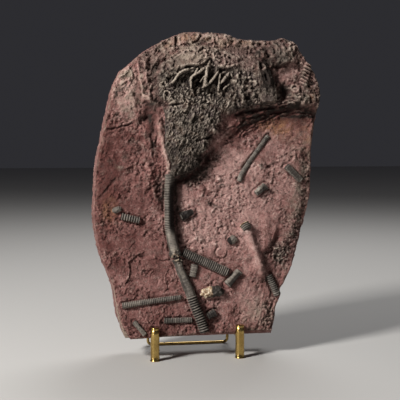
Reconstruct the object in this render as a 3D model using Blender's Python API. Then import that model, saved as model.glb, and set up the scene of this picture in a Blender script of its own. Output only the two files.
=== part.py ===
"""A fossil sea lily in a slab of red limestone, resting on a small brass stand.

The slab leans back on two wires between front posts and a bent wire frame behind it.  Everything in the
stone is laid out in the slab's own axes: u to the right and v up along its front face, w out of it.
"""

import math

import bmesh
import bpy
import numpy as np
from mathutils import Vector

# ---------------------------------------------------------------- driving dimensions, in millimetres
MM = 0.001
GAP = 0.3  # left between neighbouring pieces

LEAN_DEG = 5.0  # how far the slab leans back
SLAB_FOOT_Y, SLAB_FOOT_Z = 3.6, 15.0  # where u = v = w = 0 stands, from the posts' line on the table
SLAB_THICK = 30.0
BACK_RISE = 3.2  # lifts the back's bottom edge, so that the underside lies level
CELLS_ACROSS, CELLS_UP = 22, 30  # both even: the back is half as fine

POST_SPACING = 58.0
POST_RADIUS, POST_HEIGHT, POST_SIDES = 3.0, 22.8, 16
WIRE_RADIUS, WIRE_SIDES = 1.0, 8
ARM_TOP = 14.2
HOOP_FOOT_Y = 45.0  # behind the posts' line
HOOP_TOP_Z = 75.0
HOOP_CORNER = 3.0
BACK_FLATNESS = 0.35  # the sawn back's unevenness

# The outline of the front face, clockwise from the lower left corner, in four runs.
LEFT_EDGE = [
    (-45, -0.6), (-48.7, 5), (-52.6, 15), (-54.2, 25), (-55.7, 35), (-59, 44.6), (-64.5, 60),
    (-67.8, 80), (-67.2, 100), (-65.5, 120), (-62, 136), (-58.5, 153), (-54.5, 169), (-49, 180),
]
TOP_EDGE = [
    (-49, 180), (-37, 190), (-25, 198), (-8, 205.7), (5, 206.5), (21.6, 204.9), (30, 201.6),
    (43.7, 201), (54, 201), (61, 202.6), (67.3, 201), (71, 198.8),
]
RIGHT_EDGE = [
    (52, 2), (54.4, 12), (55, 18.5), (59, 27), (58.6, 31), (63.8, 40), (68, 50), (74, 70),
    (79.8, 90), (81.9, 110), (82.2, 128), (85, 145), (87.9, 163), (87.1, 170), (83.6, 180),
    (75.9, 191.3), (71, 198.8),
]
BOTTOM_EDGE = [(-45, -0.6), (-35, -0.3), (-7, 0.9), (0, 1.2), (20, 1.5), (41, 2.8), (52, 2)]

# Relief of the rock: the step below the crown, then ridges (points, half width, height) and lumps
# (middle, half sizes, turn in degrees, height).  A negative height is a furrow or a hollow.
LEDGE_FOOT = [
    (2, 112), (10, 118), (18, 127), (27, 134), (35, 140.6), (43.7, 144), (53.7, 149), (65, 152.7),
    (75, 151.3), (90, 152),
]
LEDGE_RISE, LEDGE_RUN = 4.5, 7.0
LEDGE_FADE = 24.0  # from u = 0 to here the step grows to its full height
RIDGES = [
    ([(-33, 186), (-33, 170), (-31, 163), (-30, 157)], 3.0, 1.6),
    ([(-31, 158), (-32, 150), (-35, 145)], 2.6, -2.0),
    ([(-33, 145), (-32, 128), (-31, 110)], 3.4, 1.8),
    ([(-24, 147), (-22.5, 138), (-21.5, 128), (-19, 120), (-17, 112)], 2.2, 1.8),
    ([(-24, 106), (-23, 96), (-22, 86)], 3.0, -1.6),
    ([(-12, 104), (-12.5, 85), (-12, 64)], 3.0, -1.5),
    ([(34, 72), (36, 70), (39.5, 60), (43, 50), (47, 41)], 4.6, 4.6),
    ([(49.6, 79), (48, 60)], 3.4, 2.0),
    ([(55.8, 80), (53, 62)], 2.6, 1.4),
    ([(57, 66), (50, 56)], 2.4, -2.0),
    ([(70, 58), (78, 88), (80.5, 122)], 4.5, -3.0),
    ([(22, 17), (17, 3)], 3.0, 1.0),
]
LUMPS = [
    ((61, 193), (11, 8), 0, 4.4),
    ((75, 162), (9, 8), 0, 2.4),
    ((64, 180), (12, 3.6), 27, -2.6),
    ((63.4, 166.8), (4.4, 4.4), 0, -5.0),
    ((-44, 168), (9, 16), -15, 1.6),
    ((2, 107), (13, 6), 25, -1.8),
    ((20, 85), (26, 22), 0, -1.0),
    ((-50, 60), (16, 40), 0, 0.8),
    ((54, 118), (5, 4), 0, -1.4),
    ((52, 11), (5, 9), 0, -2.2),
    ((57, 46), (8, 7), 30, -1.8),
]

# The crown's outline, from its neck, in four runs.
CROWN_LEFT = [
    (-18.6, 108.5), (-16.5, 113), (-16, 118), (-19, 124), (-20, 130), (-20, 138), (-19.5, 145),
    (-20, 152), (-22, 157), (-28, 159), (-30.5, 165), (-29.5, 172), (-27.5, 180), (-23.5, 188),
]
CROWN_TOP = [
    (-23.5, 188), (-12, 197), (0, 203), (10, 203.2), (20, 201.8), (28, 199.4), (38, 198), (46.5, 192.5),
]
CROWN_RIGHT = [
    (-14.6, 108.5), (-10, 110), (-5, 111.5), (0, 114), (5, 119.5), (9, 124), (13, 130), (17, 136),
    (20, 142), (23, 149), (30, 153), (38, 156.3), (50, 158.0), (56, 158.8), (55.6, 170), (53, 178),
    (49.6, 186), (46.5, 192.5),
]
CROWN_NECK = [(-18.6, 108.5), (-14.6, 108.5)]
CROWN_ACROSS, CROWN_UP = 26, 28
CROWN_SEAT = -3.0  # the bed that it lies in
CROWN_SPINE = [(0.0, 4.2), (0.12, 6.2), (0.3, 8.6), (0.5, 10.4), (0.75, 10.8), (0.9, 9.0), (1.0, 5.2)]
CROWN_EDGE = [(0.0, 0.42), (0.12, 0.72), (0.35, 1.0), (0.85, 1.02), (0.96, 0.95), (1.0, 0.8)]
ARM_HALF_WIDTH, ARM_HEIGHT = 1.5, 2.0
ARMS = [
    [(-16, 166), (-12.7, 172), (-8.4, 178.4), (-1.3, 181.6), (2, 182)],
    [(-2.4, 168), (-1.3, 174), (4.4, 180.6), (9.4, 185)],
    [(6.6, 168), (9.4, 174), (11.6, 183.4), (13, 188)],
    [(11, 168), (16.6, 177), (18, 183)],
    [(20, 170), (24.8, 177.7), (27, 184)],
    [(29, 166), (33, 176), (36, 186)],
    [(38, 162), (43, 176), (42, 190)],
    [(46, 163), (50, 175), (46.5, 188)],
]
PLATE_RIDGES, PLATE_HEIGHT = 7, 0.5  # the ridges that run up the cup

# Fossil stems: points of the axis (u, v), then radius, how far the axis stands above the rock at each
# end, ring pitch and ring depth.
STEM = [
    (-17.2, 106.6), (-17.8, 95), (-17.9, 85), (-17.8, 75), (-17, 70), (-16.2, 65), (-15, 60),
    (-14.2, 55.5),
]
STEM_LOWER = [
    (-12.9, 51), (-11, 45), (-8.8, 40), (-6.8, 35), (-4.7, 30), (-3, 25), (-1.2, 20), (0.9, 15),
    (2.8, 10), (4.9, 3.4),
]
FRAGMENTS = {
    "thick_stem_piece": ([(-8.2, 57), (21.7, 42.8)], 3.4, (0.2, 1.6), 2.4, 0.45),
    "left_stem_piece": ([(-50, 82), (-38.5, 79.2)], 2.4, (0.9, 0.9), 1.7, 0.3),
    "long_stem_piece": ([(-50, 22.2), (-29.7, 24.8), (-10.8, 26.8)], 2.0, (0.4, 0.6), 3.0, 0.2),
    "bottom_stem_piece": ([(-22, 11.2), (-3.4, 11.3)], 1.9, (0.2, 0.2), 3.0, 0.2),
    "bottom_stem_end": ([(7.9, 13.2), (12.7, 15.6)], 3.0, (0.4, 0.6), 2.4, 0.3),
    "small_stub": ([(-2.5, 40.8), (-0.8, 48.5)], 2.5, (0.3, 0.8), 4.0, 0.3),
    "nodule": ([(3.4, 29), (10, 29.8), (18.5, 30.6)], 3.4, (0.9, 0.9), 4.0, 0.4),
    "broken_block": ([(21.5, 34.6), (29.8, 43.4)], 2.9, (1.0, 1.2), 5.0, 0.3),
    "smooth_rod": (
        [(31, 105.2), (32.6, 110), (39.4, 120), (46.9, 130), (51.5, 136)], 1.65, (0.5, 0.5), 6.0, 0.1,
    ),
    "right_stub": ([(64.5, 115), (74.5, 105.5)], 2.4, (0.5, 0.3), 3.4, 0.25),
    "right_block": ([(42.5, 96.6), (49, 101.4)], 3.0, (1.0, 0.4), 4.0, 0.3),
    "dark_fragment": ([(-9.6, 81), (-2, 84.6)], 3.1, (0.6, 0.2), 4.0, 0.4),
    "edge_stem_piece": ([(50.5, 40), (53.5, 33), (56.3, 26.5)], 2.8, (0.4, 0.8), 2.4, 0.3),
    "flat_strip": ([(-42.5, 11), (-35.5, 2.4)], 1.8, (0.1, 0.1), 5.0, 0.1),
    "buried_stem_end": ([(33.6, 75.4), (35.2, 72.2)], 3.7, (0.6, 0.4), 1.6, 0.4),
}
KNOBS = {  # middle, half sizes along and across, turn in degrees, height of the middle above the rock
    "left_knob": ((-53.2, 86.6), (3.1, 2.1), 25, 0.5),
    "small_knob": ((25.3, 64.9), (3.2, 2.6), 25, 0.7),
}

COLOURS = {
    "red limestone": ((0.19, 0.095, 0.08), 0.9, 0.0),
    "grey crown": ((0.085, 0.07, 0.06), 0.85, 0.0),
    "grey stem": ((0.13, 0.115, 0.10), 0.7, 0.0),
    "pale stem": ((0.17, 0.15, 0.125), 0.7, 0.0),
    "brass": ((0.55, 0.38, 0.12), 0.25, 1.0),
}


# ---------------------------------------------------------------- shared helpers
def smooth_line(points, count):
    """count + 1 points at even steps along a smooth curve (Catmull-Rom) through the given ones."""
    p = np.array(points, float)
    p = np.vstack([2 * p[0] - p[1], p, 2 * p[-1] - p[-2]])
    t = np.linspace(0, 1, 13)[:-1, None]
    runs = []
    for a, b, c, d in zip(p[:-3], p[1:-2], p[2:-1], p[3:]):
        runs.append(0.5 * (2 * b + (c - a) * t + (2 * a - 5 * b + 4 * c - d) * t**2
                           + (3 * b - a - 3 * c + d) * t**3))
    dense = np.vstack(runs + [p[-2:-1]])
    length = np.append(0, np.cumsum(np.linalg.norm(np.diff(dense, axis=0), axis=1)))
    even = np.linspace(0, length[-1], count + 1)
    return np.stack([np.interp(even, length, axis) for axis in dense.T], axis=1)


def patch(bottom, right, top, left, across, up):
    """A grid of points, rows going up, that fills four edge curves (a Coons patch)."""
    b, t = smooth_line(bottom, across)[None], smooth_line(top, across)[None]
    l, r = smooth_line(left, up)[:, None], smooth_line(right, up)[:, None]
    s = np.linspace(0, 1, across + 1)[None, :, None]
    q = np.linspace(0, 1, up + 1)[:, None, None]
    corners = (1 - q) * ((1 - s) * b[:, :1] + s * b[:, -1:]) + q * ((1 - s) * t[:, :1] + s * t[:, -1:])
    return (1 - q) * b + q * t + (1 - s) * l + s * r - corners


def distance_to(points, u, v):
    """Distance from (u, v) to a polyline, and on which side of it (+ on its left)."""
    best = np.full(np.shape(u), 1e9)
    side = np.zeros(np.shape(u))
    for (ax, ay), (bx, by) in zip(points[:-1], points[1:]):
        dx, dy = bx - ax, by - ay
        k = np.clip(((u - ax) * dx + (v - ay) * dy) / (dx * dx + dy * dy), 0, 1)
        d = np.hypot(u - ax - k * dx, v - ay - k * dy)
        near = d < best
        best = np.where(near, d, best)
        side = np.where(near, np.sign(dx * (v - ay) - dy * (u - ax)), side)
    return best, side


def smoothly(x):
    """0 below 0, 1 above 1, and 3x² - 2x³ between."""
    x = np.clip(x, 0, 1)
    return x * x * (3 - 2 * x)


def rock_height(u, v):
    """Height of the rock's face above the plane w = 0."""
    u, v = np.asarray(u, float), np.asarray(v, float)
    d, side = distance_to(LEDGE_FOOT, u, v)
    height = LEDGE_RISE * smoothly(d * side / LEDGE_RUN) * smoothly(u / LEDGE_FADE)
    for points, half_width, tall in RIDGES:
        height = height + tall * np.exp(-((distance_to(points, u, v)[0] / half_width) ** 2))
    for (mu, mv), (long, wide), turn, tall in LUMPS:
        c, s = math.cos(math.radians(turn)), math.sin(math.radians(turn))
        along, across = (u - mu) * c + (v - mv) * s, (v - mv) * c - (u - mu) * s
        height = height + tall * np.exp(-((along / long) ** 2) - (across / wide) ** 2)
    return height


def stepped(pairs, x):
    places, values = zip(*pairs)
    return np.interp(x, places, values)


def material(name):
    colour, roughness, metallic = COLOURS[name]
    made = bpy.data.materials.new(name)
    made.use_nodes = True
    shader = made.node_tree.nodes["Principled BSDF"]
    shader.inputs["Base Color"].default_value = (*colour, 1)
    shader.inputs["Roughness"].default_value = roughness
    shader.inputs["Metallic"].default_value = metallic
    return made


def add(name, data, look, parent):
    made = bpy.data.objects.new(name, data)
    made.parent = parent
    if look:
        data.materials.append(look)
    bpy.context.scene.collection.objects.link(made)
    return made


def mesh_from(name, points, faces):
    """A mesh from slab points (u, v, w) in millimetres, with its faces turned outwards."""
    mesh = bpy.data.meshes.new(name)
    u, v, w = np.asarray(points, float).T * MM
    mesh.from_pydata(np.stack([u, -w, v], axis=1).tolist(), [], faces)
    shell = bmesh.new()
    shell.from_mesh(mesh)
    bmesh.ops.recalc_face_normals(shell, faces=shell.faces)
    shell.to_mesh(mesh)
    shell.free()
    return mesh


def grid_faces(across, up, first=0):
    """Two triangles for each cell of a grid whose points are numbered row by row."""
    corner = (first + np.arange(up)[:, None] * (across + 1) + np.arange(across)).ravel()
    beside, above = corner + 1, corner + across + 1
    lower, upper = np.stack([corner, beside, above + 1], 1), np.stack([corner, above + 1, above], 1)
    return np.vstack([lower, upper]).tolist()


def rim(across, up, first=0):
    """The numbers of a grid's border points, counter-clockwise from the lower left."""
    row = across + 1
    bottom = [first + i for i in range(across)]
    right = [first + across + j * row for j in range(up)]
    top = [first + up * row + across - i for i in range(across)]
    left = [first + (up - j) * row for j in range(up)]
    return bottom + right + top + left


def band(ring_a, ring_b):
    """Faces between two rings of the same length, or between one and another half as long."""
    n, m = len(ring_a), len(ring_b)
    faces = []
    for i in range(m):
        c, d = ring_b[i], ring_b[(i + 1) % m]
        if n == m:
            faces += [(ring_a[i], ring_a[(i + 1) % n], d), (ring_a[i], d, c)]
        else:
            e, f, g = ring_a[2 * i], ring_a[2 * i + 1], ring_a[(2 * i + 2) % n]
            faces += [(e, f, c), (f, d, c), (f, g, d)]
    return faces


def cut(target, cutter):
    cutter.hide_render = True
    cutter.display_type = "WIRE"
    bed = target.modifiers.new("bed of " + cutter.name, "BOOLEAN")
    bed.operation = "DIFFERENCE"
    bed.solver = "EXACT"
    bed.object = cutter


# ---------------------------------------------------------------- the stone and the crown
def make_slab(parent):
    """Front face, uneven edges with a bevelled arris, and a plain back, as one closed shell."""
    front = patch(BOTTOM_EDGE, RIGHT_EDGE, TOP_EDGE, LEFT_EDGE, CELLS_ACROSS, CELLS_UP)
    u, v = front[..., 0], front[..., 1]
    points = [np.stack([u, v, rock_height(u, v)], axis=-1).reshape(-1, 3)]
    faces = grid_faces(CELLS_ACROSS, CELLS_UP)
    ring = rim(CELLS_ACROSS, CELLS_UP)
    edge = points[0][ring]
    count = len(points[0])
    middle = edge.mean(axis=0)
    lean = math.radians(LEAN_DEG)
    # Rows of the edge: depth below w = 0, how far it stands out, and how near the underside comes to
    # the level just above the wires.
    for depth, out, rests in ((2.0, 0.6, 0.6), (12.0, 0.9, 1.0), (23.0, 0.5, 1.0)):
        row = edge.copy()
        away = row - middle
        away[:, 2] = 0
        row += out * away / np.linalg.norm(away, axis=1, keepdims=True)
        level = (ARM_TOP + 1.5 * GAP - SLAB_FOOT_Z + depth * math.sin(lean)) / math.cos(lean)
        row[:, 1] += np.clip((9 - row[:, 1]) / 5, 0, 1) * rests * (level - row[:, 1])
        row[:, 2] = -depth
        points.append(row)
        new_ring = list(range(count, count + len(row)))
        faces += band(ring, new_ring)
        ring, count = new_ring, count + len(row)
    back = front[::2, ::2]
    bu, bv = back[..., 0], back[..., 1] + BACK_RISE * np.exp(-((back[..., 1] / 8) ** 2))
    uneven = BACK_FLATNESS * (np.sin(bu / 9) * np.cos(bv / 13) - 1)
    points.append(np.stack([bu, bv, -SLAB_THICK - uneven], axis=-1).reshape(-1, 3))
    faces += grid_faces(CELLS_ACROSS // 2, CELLS_UP // 2, count)
    faces += band(ring, rim(CELLS_ACROSS // 2, CELLS_UP // 2, count))
    return add("slab", mesh_from("slab", np.vstack(points), faces), material("red limestone"), parent)


def crown_surface():
    """Grid of the crown's face: a dome over four edge curves, with cup plates and ridges for the arms."""
    grid = patch(CROWN_NECK, CROWN_RIGHT, CROWN_TOP, CROWN_LEFT, CROWN_ACROSS, CROWN_UP)
    u, v = grid[..., 0], grid[..., 1]
    s = np.linspace(0, 1, CROWN_ACROSS + 1)[None]
    t = np.linspace(0, 1, CROWN_UP + 1)[:, None]
    height = stepped(CROWN_SPINE, t) * stepped(CROWN_EDGE, s)
    cup = np.clip((0.5 - t) / 0.1, 0, 1) * np.clip(t / 0.1, 0, 1) * np.sin(math.pi * s)
    height = height + PLATE_HEIGHT * cup * np.cos(2 * math.pi * PLATE_RIDGES * s)
    near = np.min([distance_to(arm, u, v)[0] for arm in ARMS], axis=0)
    inside = np.clip(s / 0.08, 0, 1) * np.clip((1 - s) / 0.08, 0, 1) * np.clip((1 - t) / 0.08, 0, 1)
    height = height + ARM_HEIGHT * inside * (np.exp(-((near / ARM_HALF_WIDTH) ** 2)) - 0.3) * (t > 0.45)
    return np.stack([u, v, height], axis=-1)


def outward(outline, by):
    """A closed outline moved outwards by a distance, along the normals at its points."""
    along = np.roll(outline, -1, axis=0) - np.roll(outline, 1, axis=0)
    normal = np.stack([along[:, 1], -along[:, 0]], axis=1)
    return outline + by * normal / np.linalg.norm(normal, axis=1, keepdims=True)


def make_crown(parent, slab):
    surface = crown_surface()
    ring = rim(CROWN_ACROSS, CROWN_UP)
    points = surface.reshape(-1, 3)
    outline = points[ring][:, :2]
    n = len(ring)
    low = np.column_stack([outline, np.full(n, CROWN_SEAT)])
    foot = list(range(len(points), len(points) + n))
    faces = grid_faces(CROWN_ACROSS, CROWN_UP) + band(ring, foot) + [tuple(reversed(foot))]
    mesh = mesh_from("crown", np.vstack([points, low]), faces)
    crown = add("crown", mesh, material("grey crown"), parent)

    wide = outward(outline, GAP)
    floor = np.column_stack([wide, np.full(n, CROWN_SEAT - GAP)])
    roof = np.column_stack([wide, np.full(n, 20.0)])
    sides = band(list(range(n)), list(range(n, 2 * n)))
    closed = [tuple(range(n)), tuple(range(2 * n - 1, n - 1, -1))] + sides
    cut(slab, add("crown bed", mesh_from("crown bed", np.vstack([floor, roof]), closed), None, parent))
    return crown


# ---------------------------------------------------------------- fossil stems
def axis_points(route, lift, step):
    """Points of a rod's axis, its ends as far above the rock as lift says, straight between."""
    flat = smooth_line(route, max(2, round(length_of(route) / step)))
    ends = [rock_height(*flat[i]) + lift[i] for i in (0, -1)]
    return np.column_stack([flat, np.linspace(ends[0], ends[1], len(flat))])


def length_of(route):
    return sum(math.dist(a, b) for a, b in zip(route[:-1], route[1:]))


def rod_curve(name, axis, radii, resolution):
    """A curve whose bevel follows the given radii, with filled ends."""
    curve = bpy.data.curves.new(name, "CURVE")
    curve.dimensions = "3D"
    curve.twist_mode = "MINIMUM"
    curve.bevel_depth = MM
    curve.bevel_resolution = resolution
    curve.use_fill_caps = True
    line = curve.splines.new("POLY")
    line.points.add(len(axis) - 1)
    for point, (u, v, w), radius in zip(line.points, axis, radii):
        point.co = (u * MM, -w * MM, v * MM, 1)
        point.radius = radius
    return curve


def bed_of(name, axis, radius, parent, slab, resolution):
    """A plain tube, a gap wider and longer than the rod, that cuts the rod's bed out of the rock."""
    path = axis[[0, *range(3, len(axis) - 2, 4), len(axis) - 1]].copy()
    for end, inner in ((0, 1), (-1, -2)):
        onward = path[end] - path[inner]
        path[end] += onward * (1.5 * GAP / np.linalg.norm(onward))
    wide = rod_curve(name + " bed", path, [radius + 2 * GAP] * len(path), resolution)
    holder = bpy.data.objects.new(name + " bed", wide)
    tube = bpy.data.meshes.new_from_object(holder)
    bpy.data.objects.remove(holder)
    shell = bmesh.new()  # joins the curve's caps to its sides
    shell.from_mesh(tube)
    bmesh.ops.remove_doubles(shell, verts=shell.verts, dist=1e-6)
    bmesh.ops.recalc_face_normals(shell, faces=shell.faces)
    shell.to_mesh(tube)
    shell.free()
    cut(slab, add(name + " bed", tube, None, parent))


def ringed_rod(name, axis, radius, depth, look, parent, slab, resolution=2):
    """A rod whose points stand on rings and in the grooves between them by turns."""
    radii = [radius if i % 2 else radius - depth for i in range(len(axis))]
    bed_of(name, axis, radius, parent, slab, resolution)
    return add(name, rod_curve(name, axis, radii, resolution), look, parent)


def make_stem(parent, slab):
    """The stem: fine rings below the crown, a smooth middle, and coarse rings at the lower end."""
    look = material("grey stem")
    flat = smooth_line(STEM, 36)
    height = rock_height(flat[:, 0], flat[:, 1]).mean() + 2.4
    upper = np.column_stack([flat, np.full(len(flat), height)])
    ringed_rod("stem", upper, 3.7, 0.3, look, parent, slab)

    flat = smooth_line(STEM_LOWER, 42)
    lower = np.column_stack([flat, np.linspace(height, 2.2, len(flat))])
    coarse = np.clip((28 - flat[:, 1]) / 3, 0, 1)
    radii = 3.4 + 0.6 * coarse - (0.12 + 0.45 * coarse) * (np.arange(len(flat)) % 2)
    bed_of("stem_lower", lower, 4.0, parent, slab, 2)
    add("stem_lower", rod_curve("stem_lower", lower, radii, 2), look, parent)


def make_fragments(parent, slab):
    look = material("pale stem")
    for name, (route, radius, lift, pitch, depth) in FRAGMENTS.items():
        ringed_rod(name, axis_points(route, lift, pitch / 2), radius, depth, look, parent, slab)
    for name, ((u, v), (long, wide), turn, lift) in KNOBS.items():
        for grow, label in ((GAP + 0.1, name + " bed"), (0, name)):
            knob = bmesh.new()
            bmesh.ops.create_uvsphere(knob, u_segments=10, v_segments=6, radius=MM)
            half = Vector((long + grow, wide + grow, wide + grow))
            bmesh.ops.scale(knob, vec=half, verts=knob.verts)
            data = bpy.data.meshes.new(label)
            knob.to_mesh(data)
            knob.free()
            made = add(label, data, None if grow else look, parent)
            made.location = (u * MM, -(float(rock_height(u, v)) + lift) * MM, v * MM)
            made.rotation_euler = (0, -math.radians(turn), 0)
            if grow:
                cut(slab, made)


# ---------------------------------------------------------------- the brass stand
def turned(name, profile, sides):
    """A solid turned about Z from (radius, height) points, bottom to top."""
    shell = bmesh.new()
    corners = [shell.verts.new((r * MM, 0, z * MM)) for r, z in profile]
    line = [shell.edges.new(pair) for pair in zip(corners[:-1], corners[1:])]
    bmesh.ops.spin(shell, geom=corners + line, cent=(0, 0, 0), axis=(0, 0, 1),
                   angle=2 * math.pi, steps=sides)
    bmesh.ops.remove_doubles(shell, verts=shell.verts, dist=1e-6)
    bmesh.ops.recalc_face_normals(shell, faces=shell.faces)
    mesh = bpy.data.meshes.new(name)
    shell.to_mesh(mesh)
    shell.free()
    mesh.shade_smooth()
    return mesh


def wire(name, path, closed, look, parent):
    """A round wire along (x, y, z) points in millimetres, one flat of it facing down."""
    flat_radius = WIRE_RADIUS / math.cos(math.pi / WIRE_SIDES)
    path = [Vector(p) for p in path]
    shell = bmesh.new()
    rings = []
    for i, here in enumerate(path):
        before = path[i - 1] if closed or i else here
        after = path[(i + 1) % len(path)] if closed or i < len(path) - 1 else here
        back, on = (here - before).normalized(), (after - here).normalized()
        along = (back + on).normalized()
        side = Vector((0, 1, 0)) if abs(along.y) < 0.6 else Vector((1, 0, 0))
        side = (side - side.dot(along) * along).normalized()
        up = along.cross(side)
        stretch = 1 / max(0.5, along.dot(on) if on.length else along.dot(back))
        ring = []
        for k in range(WIRE_SIDES):
            turn = 2 * math.pi * (k + 0.5) / WIRE_SIDES
            offset = side * math.cos(turn) + up * (math.sin(turn) * stretch)
            ring.append(shell.verts.new((here + flat_radius * offset) * MM))
        rings.append(ring)
    pairs = list(zip(rings, rings[1:] + rings[:1])) if closed else list(zip(rings[:-1], rings[1:]))
    for a, b in pairs:
        for k in range(WIRE_SIDES):
            n = (k + 1) % WIRE_SIDES
            shell.faces.new((a[k], a[n], b[n], b[k]))
    if not closed:
        shell.faces.new(list(reversed(rings[0])))
        shell.faces.new(rings[-1])
    bmesh.ops.recalc_face_normals(shell, faces=shell.faces)
    mesh = bpy.data.meshes.new(name)
    shell.to_mesh(mesh)
    shell.free()
    mesh.shade_smooth()
    mesh.set_sharp_from_angle(angle=math.radians(60))
    return add(name, mesh, look, parent)


def make_stand(parent):
    look = material("brass")
    profile = [
        (0, 0), (3.3, 0), (3.3, 0.5), (POST_RADIUS, 0.8), (POST_RADIUS, POST_HEIGHT - 0.7),
        (POST_RADIUS - 0.5, POST_HEIGHT), (0, POST_HEIGHT),
    ]
    post = turned("post", profile, POST_SIDES)
    half = POST_SPACING / 2
    for name, x in (("left_post", -half), ("right_post", half)):
        add(name, post, None, parent).location = (x * MM, 0, 0)
    post.materials.append(look)

    # The frame behind the slab leans forward from the table until it meets the back.
    lean = math.radians(LEAN_DEG)
    back_v = (HOOP_TOP_Z - SLAB_FOOT_Z + SLAB_THICK * math.sin(lean)) / math.cos(lean)
    back_y = SLAB_FOOT_Y + back_v * math.sin(lean) + SLAB_THICK * math.cos(lean)
    top_y = back_y + WIRE_RADIUS * 1.1 + GAP
    foot = Vector((0, HOOP_FOOT_Y, WIRE_RADIUS))
    rise = Vector((0, top_y, HOOP_TOP_Z)) - foot
    height, climb = rise.length, rise.normalized()
    corners = [(-half, 0, 180), (half, 0, 270), (half, height, 0), (-half, height, 90)]
    path = []
    for x, along, start in corners:
        inner_x = x - math.copysign(HOOP_CORNER, x)
        inner = along + (HOOP_CORNER if along == 0 else -HOOP_CORNER)
        for step in range(4):
            turn = math.radians(start + 30 * step)
            at = foot + climb * (inner + HOOP_CORNER * math.sin(turn))
            path.append((inner_x + HOOP_CORNER * math.cos(turn), at.y, at.z))
    wire("back_hoop", path, True, look, parent)

    arm_z = ARM_TOP - WIRE_RADIUS
    hoop_y = foot.y + climb.y / climb.z * (arm_z - foot.z)
    reach = WIRE_RADIUS * 1.12 + GAP
    for name, x in (("left_arm", -half), ("right_arm", half)):
        start = (x, POST_RADIUS + GAP, arm_z)
        wire(name, [start, (x, hoop_y - reach, arm_z)], False, look, parent)


def centre_on_table(root):
    """Moves everything so that the middle of the bounding box's underside is the origin."""
    bpy.context.view_layer.update()
    graph = bpy.context.evaluated_depsgraph_get()
    corners = []
    for made in bpy.data.objects:
        if made.type in ("MESH", "CURVE") and not made.hide_render:
            solid = made.evaluated_get(graph)
            shape = solid.to_mesh()
            corners += [solid.matrix_world @ point.co for point in shape.vertices]
            solid.to_mesh_clear()
    corners = np.array(corners)
    low, high = corners.min(axis=0), corners.max(axis=0)
    root.location = (-(low[0] + high[0]) / 2, -(low[1] + high[1]) / 2, -low[2])


def main():
    for old in list(bpy.data.objects):
        bpy.data.objects.remove(old, do_unlink=True)
    root = add("fossil on its stand", None, None, None)
    face = add("slab axes", None, None, root)
    face.location = (0, SLAB_FOOT_Y * MM, SLAB_FOOT_Z * MM)
    face.rotation_euler = (-math.radians(LEAN_DEG), 0, 0)
    slab = make_slab(face)
    make_crown(face, slab)
    make_stem(face, slab)
    make_fragments(face, slab)
    make_stand(root)
    centre_on_table(root)


main()
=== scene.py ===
"""A fossil sea lily in a slab of red limestone, resting on a small brass stand.

Everything in the stone is laid out in the slab's own axes, in millimetres: u to the right and v up along
its front face, w out of it.  Each surface is a function of two parameters, worked out as whole arrays.
"""

import math

import bpy
import numpy as np
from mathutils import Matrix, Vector


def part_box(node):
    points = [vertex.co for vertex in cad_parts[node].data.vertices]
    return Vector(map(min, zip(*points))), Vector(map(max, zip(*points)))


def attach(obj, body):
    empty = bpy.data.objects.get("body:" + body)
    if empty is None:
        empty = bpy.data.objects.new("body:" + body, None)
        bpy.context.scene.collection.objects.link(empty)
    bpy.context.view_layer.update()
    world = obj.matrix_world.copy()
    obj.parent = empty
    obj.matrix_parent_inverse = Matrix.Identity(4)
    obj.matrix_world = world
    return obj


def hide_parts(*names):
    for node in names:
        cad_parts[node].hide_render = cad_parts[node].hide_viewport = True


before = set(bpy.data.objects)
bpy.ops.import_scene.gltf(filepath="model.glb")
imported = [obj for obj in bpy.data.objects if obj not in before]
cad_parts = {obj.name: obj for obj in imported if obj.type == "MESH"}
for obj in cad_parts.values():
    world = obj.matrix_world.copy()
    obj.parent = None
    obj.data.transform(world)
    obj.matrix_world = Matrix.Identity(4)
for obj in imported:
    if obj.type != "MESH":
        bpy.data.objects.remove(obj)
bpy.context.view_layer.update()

# ---- where things stand, in millimetres
MM = 0.001
LEAN = math.radians(5.0)  # how far the slab leans back
SLAB_FOOT_Y, SLAB_FOOT_Z = 3.6, 15.0  # where u = v = w = 0 stands, from the posts' line on the table
SLAB_THICK, BACK_RISE = 30.0, 3.2
ARM_TOP, GAP = 14.2, 0.3


def middle_of(node):
    """The middle of a node's box, in millimetres."""
    low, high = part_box(node)
    return (low + high) / (2 * MM)


LEFT_POST, RIGHT_POST = middle_of("left_post"), middle_of("right_post")
STAND_X, STAND_Y = (LEFT_POST.x + RIGHT_POST.x) / 2, LEFT_POST.y


def place(points):
    """Slab points (u, v, w) in millimetres, leant back and set on the stand, in metres."""
    u, v, w = np.moveaxis(np.asarray(points, float), -1, 0)
    y = STAND_Y + SLAB_FOOT_Y + v * math.sin(LEAN) - w * math.cos(LEAN)
    z = SLAB_FOOT_Z + v * math.cos(LEAN) + w * math.sin(LEAN)
    return np.stack([STAND_X + u, y, z], axis=-1) * MM


# ---- waves and spots
def smoothly(x, low=0.0, high=1.0):
    """0 below low, 1 above high, and 3x² - 2x³ between."""
    x = np.clip((x - low) / (high - low), 0, 1)
    return x * x * (3 - 2 * x)


def bell(x, width):
    """exp(-(x / width)²)."""
    return np.exp(-((x / width) ** 2))


def chance(i, j, seed):
    """A fixed number from 0 to 1 for each corner of a lattice: the fraction of a large sine."""
    value = np.sin(i * 127.1 + j * 311.7 + seed * 74.7) * 43758.5453
    return value - np.floor(value)


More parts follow.
